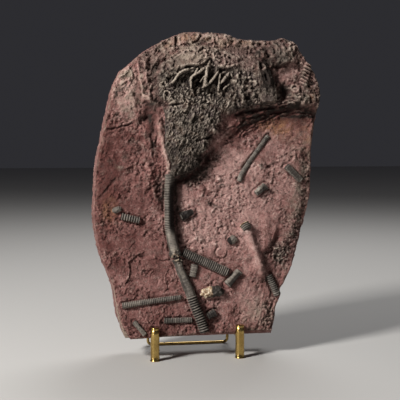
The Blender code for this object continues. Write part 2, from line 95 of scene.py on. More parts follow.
def swell(u, v, cell, seed):
    """Smooth waves from -1 to 1, about a cell long: a random slope at each lattice corner, blended by
    6x⁵ - 15x⁴ + 10x³."""
    x, y = u / cell, v / cell
    i, j = np.floor(x), np.floor(y)
    x, y = x - i, y - j
    a, b = x**3 * (x * (x * 6 - 15) + 10), y**3 * (y * (y * 6 - 15) + 10)
    total = np.zeros(np.shape(x))
    for di, wide in ((0, 1 - a), (1, a)):
        for dj, tall in ((0, 1 - b), (1, b)):
            turn = 2 * math.pi * chance(i + di, j + dj, seed)
            total += wide * tall * (np.cos(turn) * (x - di) + np.sin(turn) * (y - dj))
    return 1.5 * total


def rough(u, v, cell, layers, seed, keep=0.55):
    """Swells laid over one another, each layer with cells half as long and keep times as tall."""
    return sum(keep**k * swell(u, v, cell / 2.03**k, seed + k) for k in range(layers))


def creased(u, v, cell, layers, seed, keep=0.55):
    """Sharp crests between round valleys: 1 - 2|swell| in layers."""
    return sum(keep**k * (1 - 2 * np.abs(swell(u, v, cell / 2.03**k, seed + k))) for k in range(layers))


def lumps(u, v, cell, seed, reach=0.85):
    """Heaped round knobs from 0 to 1: the highest of the domes size · (1 - (distance / reach)²) that stand
    on the seed points of a lattice, each with a chance size."""
    x, y = u / cell, v / cell
    i, j = np.floor(x), np.floor(y)
    heap = np.zeros(np.shape(x))
    for di in (-1, 0, 1):
        for dj in (-1, 0, 1):
            a, b = i + di, j + dj
            away = (a + chance(a, b, seed) - x) ** 2 + (b + chance(a, b, seed + 31) - y) ** 2
            heap = np.maximum(heap, (0.25 + 0.75 * chance(a, b, seed + 57)) * (1 - away / reach**2))
    return heap


def wander(u, v, size, reach, seed):
    """The same places moved by up to reach by swells of a size, so that what is drawn there bends."""
    return u + reach * swell(u, v, size, seed), v + reach * swell(u, v, size, seed + 1)


def turned(u, v, degrees=0, stretch=1.0):
    """Axes turned by an angle, the first one drawn out by a stretch, for grain that runs that way."""
    c, s = math.cos(math.radians(degrees)), math.sin(math.radians(degrees))
    return (u * c + v * s) / stretch, v * c - u * s


def craggy(u, v, size, seed):
    """Broken rock: swells that keep most of their height as they get finer, bent, with knobs on some."""
    bent = wander(u, v, size, 0.3 * size, seed)
    share = smoothly(swell(u, v, 3.1 * size, seed + 3), -0.4, 0.5)
    knobs = 1.3 * lumps(*bent, 0.62 * size, seed + 4) - 0.6
    return rough(*bent, size, 4, seed + 2, keep=0.72) + share * knobs


def patches(u, v, table):
    """Sum of soft spots: amount · exp(-(along / long)² - (across / wide)²) for each row (u, v, long, wide,
    the turn in degrees if it has one, amount)."""
    total = np.zeros(np.shape(u))
    for mu, mv, long, wide, *turn, amount in table:
        near = (np.abs(u - mu) < 3 * max(long, wide)) & (np.abs(v - mv) < 3 * max(long, wide))
        along, across = turned(u[near] - mu, v[near] - mv, *turn)
        total[near] += amount * np.exp(-((along / long) ** 2) - (across / wide) ** 2)
    return total


def share_in(u, v, table):
    """How far each place lies in a table's soft spots, from 0 to 1."""
    return np.clip(patches(u, v, table), 0, 1)


def blurred(grid, cells):
    """A grid smoothed by a bell curve that is so many cells wide, its border repeated outwards."""
    reach = int(2.5 * cells) + 1
    weights = bell(np.arange(-reach, reach + 1), cells)
    weights /= weights.sum()
    for axis in (0, 1):
        pad = [(0, 0), (0, 0)]
        pad[axis] = (reach, reach)
        wide = np.pad(grid, pad, mode="edge")
        size = grid.shape[axis]
        grid = sum(w * np.take(wide, np.arange(k, k + size), axis=axis) for k, w in enumerate(weights))
    return grid


# ---- lines
def smooth_line(points, count):
    """count + 1 points at even steps along a Catmull-Rom curve through the given ones."""
    p = np.array(points, float)
    p = np.vstack([2 * p[0] - p[1], p, 2 * p[-1] - p[-2]])
    t = np.linspace(0, 1, 25)[:-1, None]
    runs = []
    for a, b, c, d in zip(p[:-3], p[1:-2], p[2:-1], p[3:]):
        runs.append(0.5 * (2 * b + (c - a) * t + (2 * a - 5 * b + 4 * c - d) * t**2
                           + (3 * b - a - 3 * c + d) * t**3))
    dense = np.vstack(runs + [p[-2:-1]])
    length = lengths(dense)
    even = np.linspace(0, length[-1], count + 1)
    return np.stack([np.interp(even, length, axis) for axis in dense.T], axis=1)


def lengths(points):
    """How far along a line each of its points is."""
    return np.append(0, np.cumsum(np.linalg.norm(np.diff(points, axis=0), axis=1)))


def beside(points, u, v):
    """Distance from each (u, v) to a polyline, how far along it the nearest point is (0 to 1), and the side
    (+ on its left)."""
    best, along, side = np.full(np.shape(u), 1e9), np.zeros(np.shape(u)), np.zeros(np.shape(u))
    spans = list(map(math.dist, points[:-1], points[1:]))
    before = 0.0
    for (ax, ay), (bx, by), span in zip(points[:-1], points[1:], spans):
        dx, dy = bx - ax, by - ay
        k = np.clip(((u - ax) * dx + (v - ay) * dy) / span**2, 0, 1)
        d = np.hypot(u - ax - k * dx, v - ay - k * dy)
        near = d < best
        best = np.where(near, d, best)
        along = np.where(near, (before + k * span) / sum(spans), along)
        side = np.where(near, np.sign(dx * (v - ay) - dy * (u - ax)), side)
        before += span
    return best, along, side


def past(points, u, v):
    """Distance from each (u, v) to a polyline, below 0 on its right."""
    d, _, side = beside(points, u, v)
    return d * side


def boxed(points, reach, u, v):
    """Which places lie in the box round the points, widened by a reach."""
    low, high = np.min(points, axis=0) - reach, np.max(points, axis=0) + reach
    return (u > low[0]) & (u < high[0]) & (v > low[1]) & (v < high[1])


def strokes(u, v, table, taper=0.12):
    """Sum of lines drawn in the surface: height · exp(-(distance / half width)²), fading at both ends, for
    each row (half width, height, points).  A negative height is a crack or a furrow."""
    total = np.zeros(np.shape(u))
    for half_width, height, *points in table:
        near = boxed(points, 3 * half_width, u, v)
        d, along, _ = beside(points, u[near], v[near])
        ends = smoothly(np.minimum(along, 1 - along), 0, taper) if taper else 1
        total[near] += height * ends * bell(d, half_width)
    return total


# ---- meshes
BACK_STEP = 4  # a back's cells are so many times longer than the front's


def grid_quads(rows, columns, first=0, wrap=False):
    """Quads between the points of a grid, numbered row by row; wrap joins the last column to the first."""
    across = np.arange(columns if wrap else columns - 1)
    corner = first + np.arange(rows - 1)[:, None] * columns
    a, b = corner + across, corner + (across + 1) % columns
    return np.stack([a, b, b + columns, a + columns], axis=-1).reshape(-1, 4)


def rim(rows, columns, first=0):
    """The numbers of a grid's border points, counter-clockwise from the first."""
    row, column, last = np.arange(rows - 1), np.arange(columns - 1), rows - 1
    right, left = row * columns + columns - 1, (last - row) * columns
    return first + np.concatenate([column, right, last * columns + columns - 1 - column, left])


def coarse_back(ring, rows, columns, first):
    """Faces of a back BACK_STEP times coarser than the front, turned the other way, and the triangles that
    join its border to the finer ring of points above it."""
    far = rim(rows, columns, first)
    near, after = ring.reshape(-1, BACK_STEP), np.roll(ring, -1).reshape(-1, BACK_STEP)
    half = BACK_STEP // 2
    nearer = [far] * half + [np.roll(far, -1)] * half
    faces = [np.stack([near[:, k], nearer[k], after[:, k]], axis=-1) for k in range(BACK_STEP)]
    faces.append(np.stack([near[:, half], far, np.roll(far, -1)], axis=-1))
    return faces + [grid_quads(rows, columns, first)[:, ::-1]]


def fan(ring, pole, flip=False):
    """Triangles that close a ring at one point."""
    sides = (np.roll(ring, -1), ring) if flip else (ring, np.roll(ring, -1))
    return np.stack([np.full(len(ring), pole), *sides], axis=-1)


def solid(name, points, faces, look, node, marks=None):
    """A closed, smooth-shaded mesh at the origin that rides on the stand's body and stands for a CAD node.
    faces is a list of arrays of quads or triangles; marks are named values, one for each point."""
    mesh = bpy.data.meshes.new(name)
    mesh.vertices.add(len(points))
    mesh.vertices.foreach_set("co", points.astype(np.float32).ravel())
    sizes = np.concatenate([np.full(len(part), part.shape[1]) for part in faces])
    corners = np.concatenate([part.ravel() for part in faces])
    mesh.loops.add(len(corners))
    mesh.loops.foreach_set("vertex_index", corners.astype(np.int32))
    mesh.polygons.add(len(sizes))
    mesh.polygons.foreach_set("loop_start", np.append(0, np.cumsum(sizes)[:-1]).astype(np.int32))
    mesh.update(calc_edges=True)
    mesh.shade_smooth()
    for label, values in (marks or {}).items():
        mark = mesh.attributes.new(label, "FLOAT", "POINT")
        mark.data.foreach_set("value", values.astype(np.float32).ravel())
    mesh.materials.append(look)
    piece = bpy.data.objects.new(name, mesh)
    bpy.context.scene.collection.objects.link(piece)
    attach(piece, "root")
    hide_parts(node)


def shell(name, front, side, back, marks, side_marks, back_marks, look, node):
    """One closed skin round a stone: a front grid, rings of points stepped down from its border, and a back
    that the last ring meets.  Each part brings the marks of its own points."""
    ring = rim(*front.shape[:2])
    first = front[..., 0].size
    rings = np.vstack([ring, first + np.arange(side[..., 0].size).reshape(len(side), -1)])
    faces = [grid_quads(*front.shape[:2])]
    faces += [np.stack([inner, outer, np.roll(outer, -1), np.roll(inner, -1)], axis=-1)
              for inner, outer in zip(rings[:-1], rings[1:])]
    faces += coarse_back(rings[-1], *back.shape[:2], rings[-1][-1] + 1)
    parts = ((front, marks), (side, side_marks), (back, back_marks))
    points = np.vstack([part.reshape(-1, 3) for part, _ in parts])
    marks = {label: np.concatenate([(values[label] + 0 * part[..., 0]).ravel() for part, values in parts])
             for label in marks}
    solid(name, place(points), faces, look, node, marks)


def sweep(path, up, radii):
    """Points carried along a path: path + radius · (up · cos a + side · sin a), side being along × up."""
    along = np.gradient(path, axis=0)
    along /= np.linalg.norm(along, axis=1, keepdims=True)
    side = np.cross(along, up)
    side /= np.linalg.norm(side, axis=1, keepdims=True)
    over = np.cross(side, along)
    turn = np.linspace(0, 2 * math.pi, radii.shape[1], endpoint=False)[None, :, None]
    return path[:, None] + radii[..., None] * (over[:, None] * np.cos(turn) + side[:, None] * np.sin(turn))


def tube_faces(rows, around):
    """Quads of a tube and the fans that close its two ends, whose poles are its last two points."""
    first, last = np.arange(around), np.arange(around) + (rows - 1) * around
    ends = np.vstack([fan(first, rows * around, flip=True), fan(last, rows * around + 1)])
    return [grid_quads(rows, around, wrap=True), ends]


def with_poles(points, poles, marks):
    """A tube's points and its two poles, each with the marks of the point beside it."""
    marks = {label: np.append(values, values.flat[[0, -1]]) for label, values in marks.items()}
    return place(np.vstack([points.reshape(-1, 3), poles])), marks


# ---- the rock's form
# A table of soft spots has rows of u, v, half sizes along and across, the turn in degrees if it has one,
# and the height or amount.  A table of lines has rows of half width, height or amount, and points.  Below 0
# a height is a hollow or a furrow.
# The outline of the front face, clockwise from the lower left corner, in four runs.
LEFT_EDGE = [
    (-45, -0.6), (-48.7, 5), (-52.6, 15), (-54.2, 25), (-55.7, 35), (-59, 44.6), (-64.5, 60), (-67.8, 80),
    (-67.2, 100), (-65.5, 120), (-62, 136), (-58.5, 153), (-54.5, 169), (-49, 180),
]
TOP_EDGE = [
    (-49, 180), (-37, 190), (-25, 198), (-8, 205.7), (5, 206.5), (21.6, 204.9), (30, 201.6), (43.7, 201),
    (54, 201), (61, 202.6), (67.3, 201), (71, 198.8),
]
RIGHT_EDGE = [
    (52, 2), (54.4, 12), (55, 18.5), (59, 27), (58.6, 31), (63.8, 40), (68, 50), (74, 70), (79.8, 90),
    (81.9, 110), (82.2, 128), (85, 145), (87.9, 163), (87.1, 170), (83.6, 180), (75.9, 191.3), (71, 198.8),
]
BOTTOM_EDGE = [(-45, -0.6), (-35, -0.3), (-7, 0.9), (0, 1.2), (20, 1.5), (41, 2.8), (52, 2)]
CELLS_ACROSS, CELLS_UP = 220, 328
ROCK_CELL = 0.61

# The step below the crown, then ridges, furrows and lumps.
LEDGE_FOOT = [
    (2, 112), (10, 118), (18, 127), (27, 134), (35, 140.6), (43.7, 144), (53.7, 149), (65, 152.7),
    (75, 151.3), (90, 152),
]
LEDGE_RISE, LEDGE_RUN = 4.5, 7.0
STRATA = 2.4  # how far apart the beds of the ledge come out
RIDGES = [
    (3, 1.6, (-33, 186), (-33, 170), (-31, 163), (-30, 157)), (2.6, -2, (-31, 158), (-32, 150), (-35, 145)),
    (3.4, 1.8, (-33, 145), (-32, 128), (-31, 110)),
    (2.2, 1.8, (-24, 147), (-22.5, 138), (-21.5, 128), (-19, 120), (-17, 112)),
    (3, -1.6, (-24, 106), (-23, 96), (-22, 86)), (3, -1.5, (-12, 104), (-12.5, 85), (-12, 64)),
    (4, 3.9, (34.5, 72), (36.3, 69), (39.6, 59), (43, 50), (46, 41)),
    (6, 1.6, (35, 70), (39, 59), (44, 46)), (3.4, 2, (49.6, 79), (48, 60)),
    (2.6, 1.4, (55.8, 80), (53, 62)), (2.4, -2, (57, 66), (50, 56)),
    (4.5, -3, (70, 58), (78, 88), (80.5, 122)), (3, 1, (22, 17), (17, 3)),
]
LUMPS = [
    (61, 193, 11, 8, 4.4), (75, 162, 9, 8, 2.4), (64, 180, 12, 3.6, 27, -2.6), (63.4, 166.8, 4.4, 4.4, -5),
    (-44, 168, 9, 16, -15, 1.6), (2, 107, 13, 6, 25, -1.8), (20, 85, 26, 22, -1), (-50, 60, 16, 40, 0.8),
    (54, 118, 5, 4, -1.4), (52, 11, 5, 9, -2.2), (57, 46, 8, 7, 30, -1.8),
]
# Over this line, left to right, the rock is rough and grey; in the worn spots it is smooth.
UPPER_LIMIT = [
    (-60, 196), (-38, 190), (-35, 180), (-36, 168), (-33, 158), (-24, 156), (0, 160), (30, 152), (60, 157),
    (95, 157),
]
WORN = [
    (-5, 186.5, 9, 4, 8, 1.2), (-3, 203, 7, 2.6, 10, 0.7), (-16, 199, 4, 2, 30, 0.6),
    (36.5, 184.5, 4, 3.4, 0.9), (60, 194, 9, 5, 0.7), (46, 183, 1.8, 5, 0.9), (52, 163, 7, 5, 0.9),
    (64, 179, 8, 4.5, 30, 1.1), (30, 191, 8, 5, 0.45), (12, 197, 2, 1.5, 0.8),
]
# Smooth places in the red rock, rough and pitted ones, lumpy ground at the left of the crown, and the
# cluster of knobs at the right.
QUIET = [
    (40.5, 57, 18, 5, 113, 1), (49, 70, 9, 3, 84, 1), (33, 32, 9, 16, 0.8), (22, 110, 9, 14, -35, 0.5),
    (60, 100, 7, 18, -12, 0.7), (64, 134, 8, 7, 0.5), (-54, 126, 8, 12, 0.8), (-56, 106, 7, 10, 0.6),
    (-47, 158, 6, 6, 0.4), (-47, 178, 6, 6, 45, 0.9),
]
BROKEN = [
    (76, 92, 4, 38, -12, 0.55), (51, 12, 4.5, 9, 1.2), (58.5, 54, 5, 7.5, 30, 1.6),
    (64, 62, 4, 12, -30, 0.7), (-22, 101, 5, 7, 0.8), (2, 106, 9, 5, 30, 1), (9, 93, 3, 5, 0.5),
]
CRUSTS = [
    (-34, 125, 6, 22, 0.9), (-24, 132, 5, 28, -8, 1), (-42, 150, 8, 8, 0.4), (-40, 100, 8, 8, 0.4),
    (-36, 165, 4, 20, 0.6), (2, 80, 12, 22, 0.5), (12, 101, 14, 7, 35, 0.9), (3, 67, 10, 5, -28, 0.6),
    (-26, 100, 5, 10, 0.7),
]
CLUSTER = [(76, 160.5, 6, 7.5, 1.2)]
# Lines on whose right, looking up the slab, a flake has come off: drop, how far it fades, points.
FLAKES = [
    (1.3, 7, (-33, 58.5), (-39, 56.5), (-43.5, 53.3), (-46, 51), (-45, 46.5), (-45.5, 42), (-47.5, 38),
     (-49, 34.5)), (0.9, 2.6, (-18.5, 46), (-21, 41.5), (-20.5, 37), (-19.8, 33), (-22.8, 30)),
    (0.7, 2, (-28.6, 47), (-30.8, 43)), (0.6, 3, (-41, 66), (-45, 61), (-48, 60)),
    (0.6, 2.5, (-38, 28), (-46, 31), (-50.5, 29)), (0.5, 3, (11, 100), (8, 95), (10.5, 89), (13, 85.5)),
    (0.6, 6, (56, 112), (52, 96), (47, 86)),
]
CRACKS = [
    (0.8, -1.7, (-60, 140.6), (-52.7, 141.6), (-45.6, 143.4), (-40.6, 145)),
    (0.6, -0.9, (-58.5, 149.5), (-56, 150.5)), (0.9, -0.8, (-52.8, 109), (-59.3, 100.8), (-65.5, 93.5)),
    (0.5, -0.8, (-65.8, 77), (-62, 79)), (0.7, -1.2, (-29.5, 139), (-28.5, 130), (-28, 121)),
    (0.6, -1.2, (-25.8, 136), (-26.5, 128)), (0.8, -1.5, (-35, 145.5), (-31, 149.5)),
    (0.5, -0.9, (-25, 52), (-17, 52)),
    (0.7, -1.3, (-31.5, 176), (-28.5, 178), (-28, 181), (-26, 184), (-23, 187.5)),
    (0.5, -0.9, (24.5, 101.5), (25.6, 100.5), (24.8, 99.2)),
]
WELTS = [
    (0.9, 1.6, (66.7, 200.4), (65.7, 193.3)), (0.9, 1.7, (70.6, 198.4), (67.3, 191.3), (66.7, 188.7)),
    (1.2, 1.2, (-30, 172), (-31, 164), (-30.5, 158)), (0.8, 1, (10, 84.5), (12.5, 85.4), (15, 88.8)),
    (1.5, 0.6, (-24.5, 147), (-23.5, 140), (-22, 134), (-21, 128), (-19.5, 122), (-17.6, 117), (-17.6, 110),
     (-18.6, 104)), (1, 0.8, (46, 20), (50, 12)), (0.9, 1.1, (60, 150.7), (70, 153.3), (76, 152.7)),
    (2.4, -2.8, (-14, 104), (-6, 107), (1, 111), (8, 119), (15, 129)),
    (1, -2.6, (27, 149.5), (34, 152), (42, 153.4), (58, 156)),
    (0.7, -1.4, (30, 145.5), (44, 149.4), (56, 152.4), (70, 153.6)),
    (0.7, 1.1, (-51, 170.6), (-46.5, 172.8), (-43.4, 174.6)),
    (0.9, 1.2, (-51, 176), (-47, 177.5), (-43.4, 181.5)),
    (0.7, 0.9, (-44.5, 184), (-42.5, 179), (-42, 175)),
    (1, 1.3, (-38, 186), (-37, 178), (-35.4, 168), (-34, 160)),
    (0.9, 1.1, (-33.5, 188), (-32.6, 178), (-31.5, 170)), (1.2, -1.3, (-41, 166), (-38, 160), (-36, 154)),
]
SPOTS = [
    (-36.5, 55, 2.2, 1.7, -1.2), (-28.3, 54.5, 0.8, 0.8, 1.3), (-50.5, 114.5, 3.4, 1.8, 10, 0.9),
    (-50.5, 169.5, 2.4, 3.4, 15, -1.2), (14, 103.2, 1.2, 1, 1.4), (17, 106.4, 1.3, 1.7, 20, 1.8),
    (19.4, 102.6, 1.2, 1, 1.4), (16.4, 104.2, 0.9, 0.9, -0.9), (11.8, 89.4, 2.2, 1.5, 35, -1.6),
    (54.4, 117.6, 2.4, 1.6, 25, 1.7), (52, 115, 2, 1.2, 25, -1.6), (45.6, 114.6, 1, 1.6, 40, 0.9),
    (59, 118.6, 0.7, 0.7, 0.9), (38.5, 104, 3, 4, -30, -0.8), (36.6, 101.4, 1.2, 1.6, 1),
    (40.2, 106.4, 0.9, 1.2, 0.9), (-58, 74, 1.6, 1.2, 0.9), (-25, 101, 2.2, 4, 10, -1.4),
    (5.5, 108, 5, 2.2, 40, -1.2), (13.4, 62.6, 0.9, 0.9, 1), (0.5, 66.2, 2.4, 1.4, 30, 1),
    (59.5, 183, 4.2, 2, 12, -2.4), (63.8, 186.8, 1.7, 1.5, 1.8), (68, 187.3, 1.8, 1.6, 1.9),
    (66.8, 157.6, 2.8, 2.2, 2.2), (70, 168.7, 0.9, 0.9, 1.3), (82.5, 163.5, 1.2, 1.8, 1.2),
]
# Over the crown's upper edge, in the crown and in the rock behind it.
TOP_CREASES = [
    (1, -2.6, (-11, 206), (-11.3, 202), (-11.8, 198.5), (-11.4, 195.5)),
    (0.8, -2.2, (6, 205.4), (4.6, 202.6), (3.5, 201.4), (1, 199.3), (-1.5, 198.3)),
    (0.6, -1.2, (-8.3, 203.5), (-9, 200)), (0.8, -1.5, (13.8, 204), (14.8, 200.5), (16.4, 197)),
    (0.7, -1.2, (21, 199.5), (22.6, 196.5)), (0.7, -1.3, (27, 200.5), (25.5, 198), (27.5, 196)),
    (0.8, -1.4, (-19.4, 200), (-13, 196.8)), (1.3, -2, (43.5, 199.8), (48, 196), (52, 189)),
    (0.8, -1.3, (52, 200.5), (55, 196.5), (55.6, 191)),
    (0.8, -1.3, (57.6, 199.8), (60.2, 194.4), (59.4, 190)), (0.7, -1.1, (62.4, 199.6), (63.8, 194)),
]
# Rings: middle, radius, half width, height, and the turn in degrees from which to which it is missing.
RINGS = [
    (18.5, 71.5, 2.7, 0.45, -0.9, 330, 400), (17.7, 56.5, 4, 0.55, -0.8, 20, 100),
    (17.7, 56.5, 3.1, 0.8, 0.6, 20, 100), (55, 95, 3.3, 0.5, 0.5, 120, 170),
    (-45, 30.5, 4, 0.5, 0.6, 200, 290), (70, 168.7, 2.5, 0.75, 1.7),
]
COMB_TOP, COMB_FOOT, COMB_TEETH = (79.8, 184.8), (75.6, 171.8), 7
TOOTH, HALF_TOOTH = (0.62, 3.4), np.array([2.7, -1.6])  # half width and height, and from middle to end


def rings_at(u, v):
    """Sum of rings: height · exp(-((distance to the middle - radius) / half width)²), less a gap."""
    total = np.zeros(np.shape(u))
    for mu, mv, radius, half_width, height, *gap in RINGS:
        near = np.hypot(u - mu, v - mv) < radius + 3 * half_width
        du, dv = u[near] - mu, v[near] - mv
        ring = height * bell(np.hypot(du, dv) - radius, half_width)
        if gap:
            turn = (np.degrees(np.arctan2(dv, du)) - gap[0] + 30) % 360 + gap[0] - 30
            ring *= 1 - smoothly(turn, gap[0] - 15, gap[0]) * (1 - smoothly(turn, gap[1], gap[1] + 15))
        total[near] += ring
    return total


def comb():
    """The teeth of the comb: short lines stepped from its top to its foot, each falling to the right."""
    steps = np.linspace(0, 1, COMB_TEETH)[:, None]
    middles = np.array(COMB_TOP) * (1 - steps) + np.array(COMB_FOOT) * steps
    return [(*TOOTH, middle - HALF_TOOTH, middle + HALF_TOOTH) for middle in middles]


def flaked(u, v):
    """Steps down beside lines where a flake has come off: -drop · exp(-distance / fade) on one side, and a
    low lip on the other."""
    total = np.zeros(np.shape(u))
    bent = wander(u, v, 3.0, 0.6, 151)
    for drop, fade, *points in FLAKES:
        d, along, side = beside(smooth_line(points, 24), *bent)
        ends = smoothly(np.minimum(along, 1 - along), 0.0, 0.15)
        total -= drop * ends * np.exp(-d / fade) * smoothly(d * side, -0.35, 0.35)
        total += 0.35 * drop * ends * bell(d, 0.8) * (side < 0)
    return total


def rock_height(u, v):
    """Height of the rock's face above the plane w = 0, without its grain: the step, ridges and lumps."""
    u, v = np.asarray(u, float), np.asarray(v, float)
    step = LEDGE_RISE * smoothly(past(LEDGE_FOOT, u, v) / LEDGE_RUN) * smoothly(u, 0, 24)
    return step + strokes(u, v, RIDGES, taper=0) + patches(u, v, LUMPS)


def shoulder(u, v):
    """How the rock swells to meet the crown along its top and its upper left side."""
    over = 3.4 * bell(beside(CROWN_TOP, u, v)[0], 4.2)
    left = 1.6 * bell(beside(CROWN_LEFT[8:], u, v)[0], 3.5)
    return np.maximum(over, left)


def upper_share(u, v):
    """1 over and beside the crown, where the rock is rough and grey, falling to 0 in the plain red rock."""
    return smoothly(past(UPPER_LIMIT, u, v), -3.0, 2.0)


def upper_grain(u, v):
    """The rough rock over and beside the crown: craggy, pitted in places and quiet where it is worn."""
    height = 0.9 * craggy(u, v, 4.2, 143) + 0.6 * creased(u, v, 7.0, 2, 145)
    heaps = lumps(*wander(u, v, 4.5, 1.0, 155), 4.6, 157) - 0.45
    height += 2.0 * smoothly(-u, 6, 20) * heaps - 1.2 * lumps(u, v, 4.1, 149, 0.26)
    quiet = share_in(u, v, WORN)
    return height * (1 - 0.75 * quiet) + 0.25 * quiet * rough(u, v, 1.9, 2, 147)


def strata(u, v):
    """The beds that come out in the ledge: how far each place belongs to them, and where it is in its bed,
    from 0 at the bed's foot to 1 at the next."""
    over = past(LEDGE_FOOT, u, v)
    share = smoothly(over, -4, -1) * (1 - smoothly(over, 8, 12)) * smoothly(u, 14, 32)
    bed = (over + 1.7 * rough(u, v, 12, 4, 71, keep=0.6)) / STRATA
    return share * np.clip(0.6 + 1.3 * rough(u, v, 8, 3, 73), 0, 1), bed - np.floor(bed)


def rock_grain(u, v):
    """The face's fine relief: swells, pecked bumps and pits everywhere, and a grain that runs with each
    region."""
    quiet = share_in(u, v, QUIET)
    calm = np.maximum(smoothly(rough(u, v, 17, 2, 13), -0.35, 0.45), quiet)
    height = swell(u, v, 26, 11) + 0.5 * (1 - 0.6 * quiet) * rough(u, v, 9, 2, 12)
    pecked = 0.58 * rough(*wander(u, v, 2.5, 0.7, 9), 3.0, 4, 3, keep=0.76)
    pecked += 0.2 * (lumps(u, v, 1.9, 7) - 0.5)
    height += (1.25 - 0.8 * calm) * pecked - 0.6 * (1 - calm) * lumps(u, v, 4.4, 19, 0.2)
    streaks = smoothly(u, 22, 34) * smoothly(-v, -84, -66) * (1 - 0.7 * quiet)
    height += 0.35 * streaks * creased(*turned(u, v, 74, 5.0), 3.4, 2, 29)
    slanting = smoothly(-u, 30, 42) * smoothly(v, 84, 110) * (1 - 0.6 * quiet)
    height += 0.4 * slanting * creased(*turned(*wander(u, v, 9, 1.5, 41), 62, 1.7), 7.0, 3, 37)
    height += 0.9 * share_in(u, v, CRUSTS) * craggy(*turned(u, v, 97, 1.5), 4.6, 47)
    pitted = 1.1 * creased(u, v, 3.2, 3, 51) - 0.4 - 1.2 * lumps(u, v, 2.0, 53, 0.4)
    height += share_in(u, v, BROKEN) * (pitted + 0.7 * lumps(u, v, 1.8, 55))
    upper = upper_share(u, v)
    height = height * (1 - upper) + upper_grain(u, v) * upper
    height += share_in(u, v, CLUSTER) * (2.4 * lumps(u, v, 2.6, 57) - 1.2)
    shelf, bed = strata(u, v)
    return height + 2.4 * shelf * (smoothly(bed, 0, 0.22) - bed)


def rock_relief(u, v):
    """The whole height of the rock's face."""
    bent = wander(u, v, 3.2, 0.8, 161)
    forms = strokes(*bent, CRACKS) + strokes(*bent, WELTS) + strokes(u, v, comb()) + patches(*bent, SPOTS)
    forms += rings_at(u, v) + strokes(*bent, TOP_CREASES) + flaked(u, v) - beds(u, v)
    return rock_height(u, v) + shoulder(u, v) + rock_grain(u, v) + forms


def patch(bottom, right, top, left, across, up):
    """A grid of points, rows going up, that fills four edge curves (a Coons patch)."""
    b, t = smooth_line(bottom, across)[None], smooth_line(top, across)[None]
    l, r = smooth_line(left, up)[:, None], smooth_line(right, up)[:, None]
    s = np.linspace(0, 1, across + 1)[None, :, None]
    q = np.linspace(0, 1, up + 1)[:, None, None]
    low = (1 - s) * (1 - q) * b[:, :1] + s * (1 - q) * b[:, -1:]
    high = (1 - s) * q * t[:, :1] + s * q * t[:, -1:]
    return (1 - q) * b + q * t + (1 - s) * l + s * r - low - high


def from_border(rows, columns, cell):
    """Roughly how far each point of a grid is from its border, in millimetres."""
    i, j = np.arange(columns)[None], np.arange(rows)[:, None]
    return cell * np.minimum(np.minimum(i, columns - 1 - i), np.minimum(j, rows - 1 - j))


EDGE_DEPTHS = np.concatenate([[0.4, 0.9, 1.6], np.arange(2.6, 29.4, 1.6)])[:, None]
EDGE_OUT = ([0, 2, 12, 23, 30], [0.25, 0.6, 0.9, 0.5, 0])  # how far the sides bulge at some depths
ARRIS, BROKEN_BACK, RIM_LIGHT = 0.9, 2.4, 1.0  # how far in the front's edge is rounded, broken and painted pale as rim light
EDGE_MARKS = {"fine": 0, "broad": 0, "tone": 0.4, "grey": 0.2, "beige": 0, "rose": 0, "stain_and_painted_shading": 0, "dark": 0}


def make_rock(look):
    """The slab: the face's relief on a grid, uneven broken edges, and a sawn back."""
    face = patch(BOTTOM_EDGE, RIGHT_EDGE, TOP_EDGE, LEFT_EDGE, CELLS_ACROSS, CELLS_UP)
    u, v = face[..., 0], face[..., 1]
    inwards = from_border(*u.shape, ROCK_CELL)
    height = rock_relief(u, v) - bell(inwards, ARRIS) * (0.5 + 0.5 * rough(u, v, 7, 2, 101))
    height = height - 1.3 * bell(inwards, BROKEN_BACK) * smoothly(rough(u, v, 11, 3, 103), 0.1, 0.7)
    marks = stone_marks(u, v, height, ROCK_CELL, 0)
    # Painted highlight: the rim of the face is painted pale where the light catches its edge.
    painted_rim_light = bell(inwards, RIM_LIGHT) * np.clip(0.5 + rough(u, v, 6, 2, 105), 0, 1)
    marks["beige"] = np.clip(marks["beige"] + 0.7 * painted_rim_light * (smoothly(v, 90, 140) + (v < 40)), 0, 1)
    front = np.dstack([u, v, height])

    edge = front.reshape(-1, 3)[rim(*u.shape)]
    away = edge[:, :2] - edge[:, :2].mean(axis=0)
    away /= np.linalg.norm(away, axis=1, keepdims=True)
    low_down = np.clip((9 - edge[:, 1]) / 5, 0, 1)
    depth = EDGE_DEPTHS + 0 * low_down
    around = lengths(edge[:, :2]) + 0 * depth
    chips = 0.5 * craggy(around, 1.3 * depth, 6, 113) + 0.8 * creased(around, 1.3 * depth, 15, 3, 117)
    out = (chips - 0.7) * smoothly(depth, 0, 4) * (1 - smoothly(depth, 26, 30))
    out += np.interp(depth, *EDGE_OUT)
    level = (ARM_TOP + 1.5 * GAP - SLAB_FOOT_Z + depth * math.sin(LEAN)) / math.cos(LEAN)
    side = edge + 0 * depth[..., None]
    side[..., :2] += (out * (1 - low_down))[..., None] * away
    side[..., 1] += low_down * smoothly(depth, 0, 4) * (level - side[..., 1])
    side[..., 2] = np.minimum(edge[:, 2] * (1 - smoothly(depth, 0, 3)) - depth, edge[:, 2] - 0.3 * depth)
    # Painted highlight: the lower left side is painted pale near the face, where the light catches it.
    pale = smoothly(-edge[:, 0], 20, 36) * (1 - smoothly(edge[:, 1], 28, 42)) * (1 - smoothly(depth, 5, 10))
    side_marks = {"fine": 0.6 * (chips - 0.5), "broad": 0.3 * (chips - 0.5), "beige": 0.8 * pale,
                  "tone": 0.36 + 0.16 * rough(around, depth, 9, 4, 127)}

    bu, bv = np.moveaxis(face[::BACK_STEP, ::BACK_STEP], -1, 0)
    bv = bv + BACK_RISE * bell(bv, 8)
    back = np.dstack([bu, bv, 0.35 * (1 - np.sin(bu / 9) * np.cos(bv / 13)) - SLAB_THICK])
    side_marks = {**EDGE_MARKS, **side_marks}
    shell("rock", front, side, back, marks, side_marks, EDGE_MARKS, look, "slab")


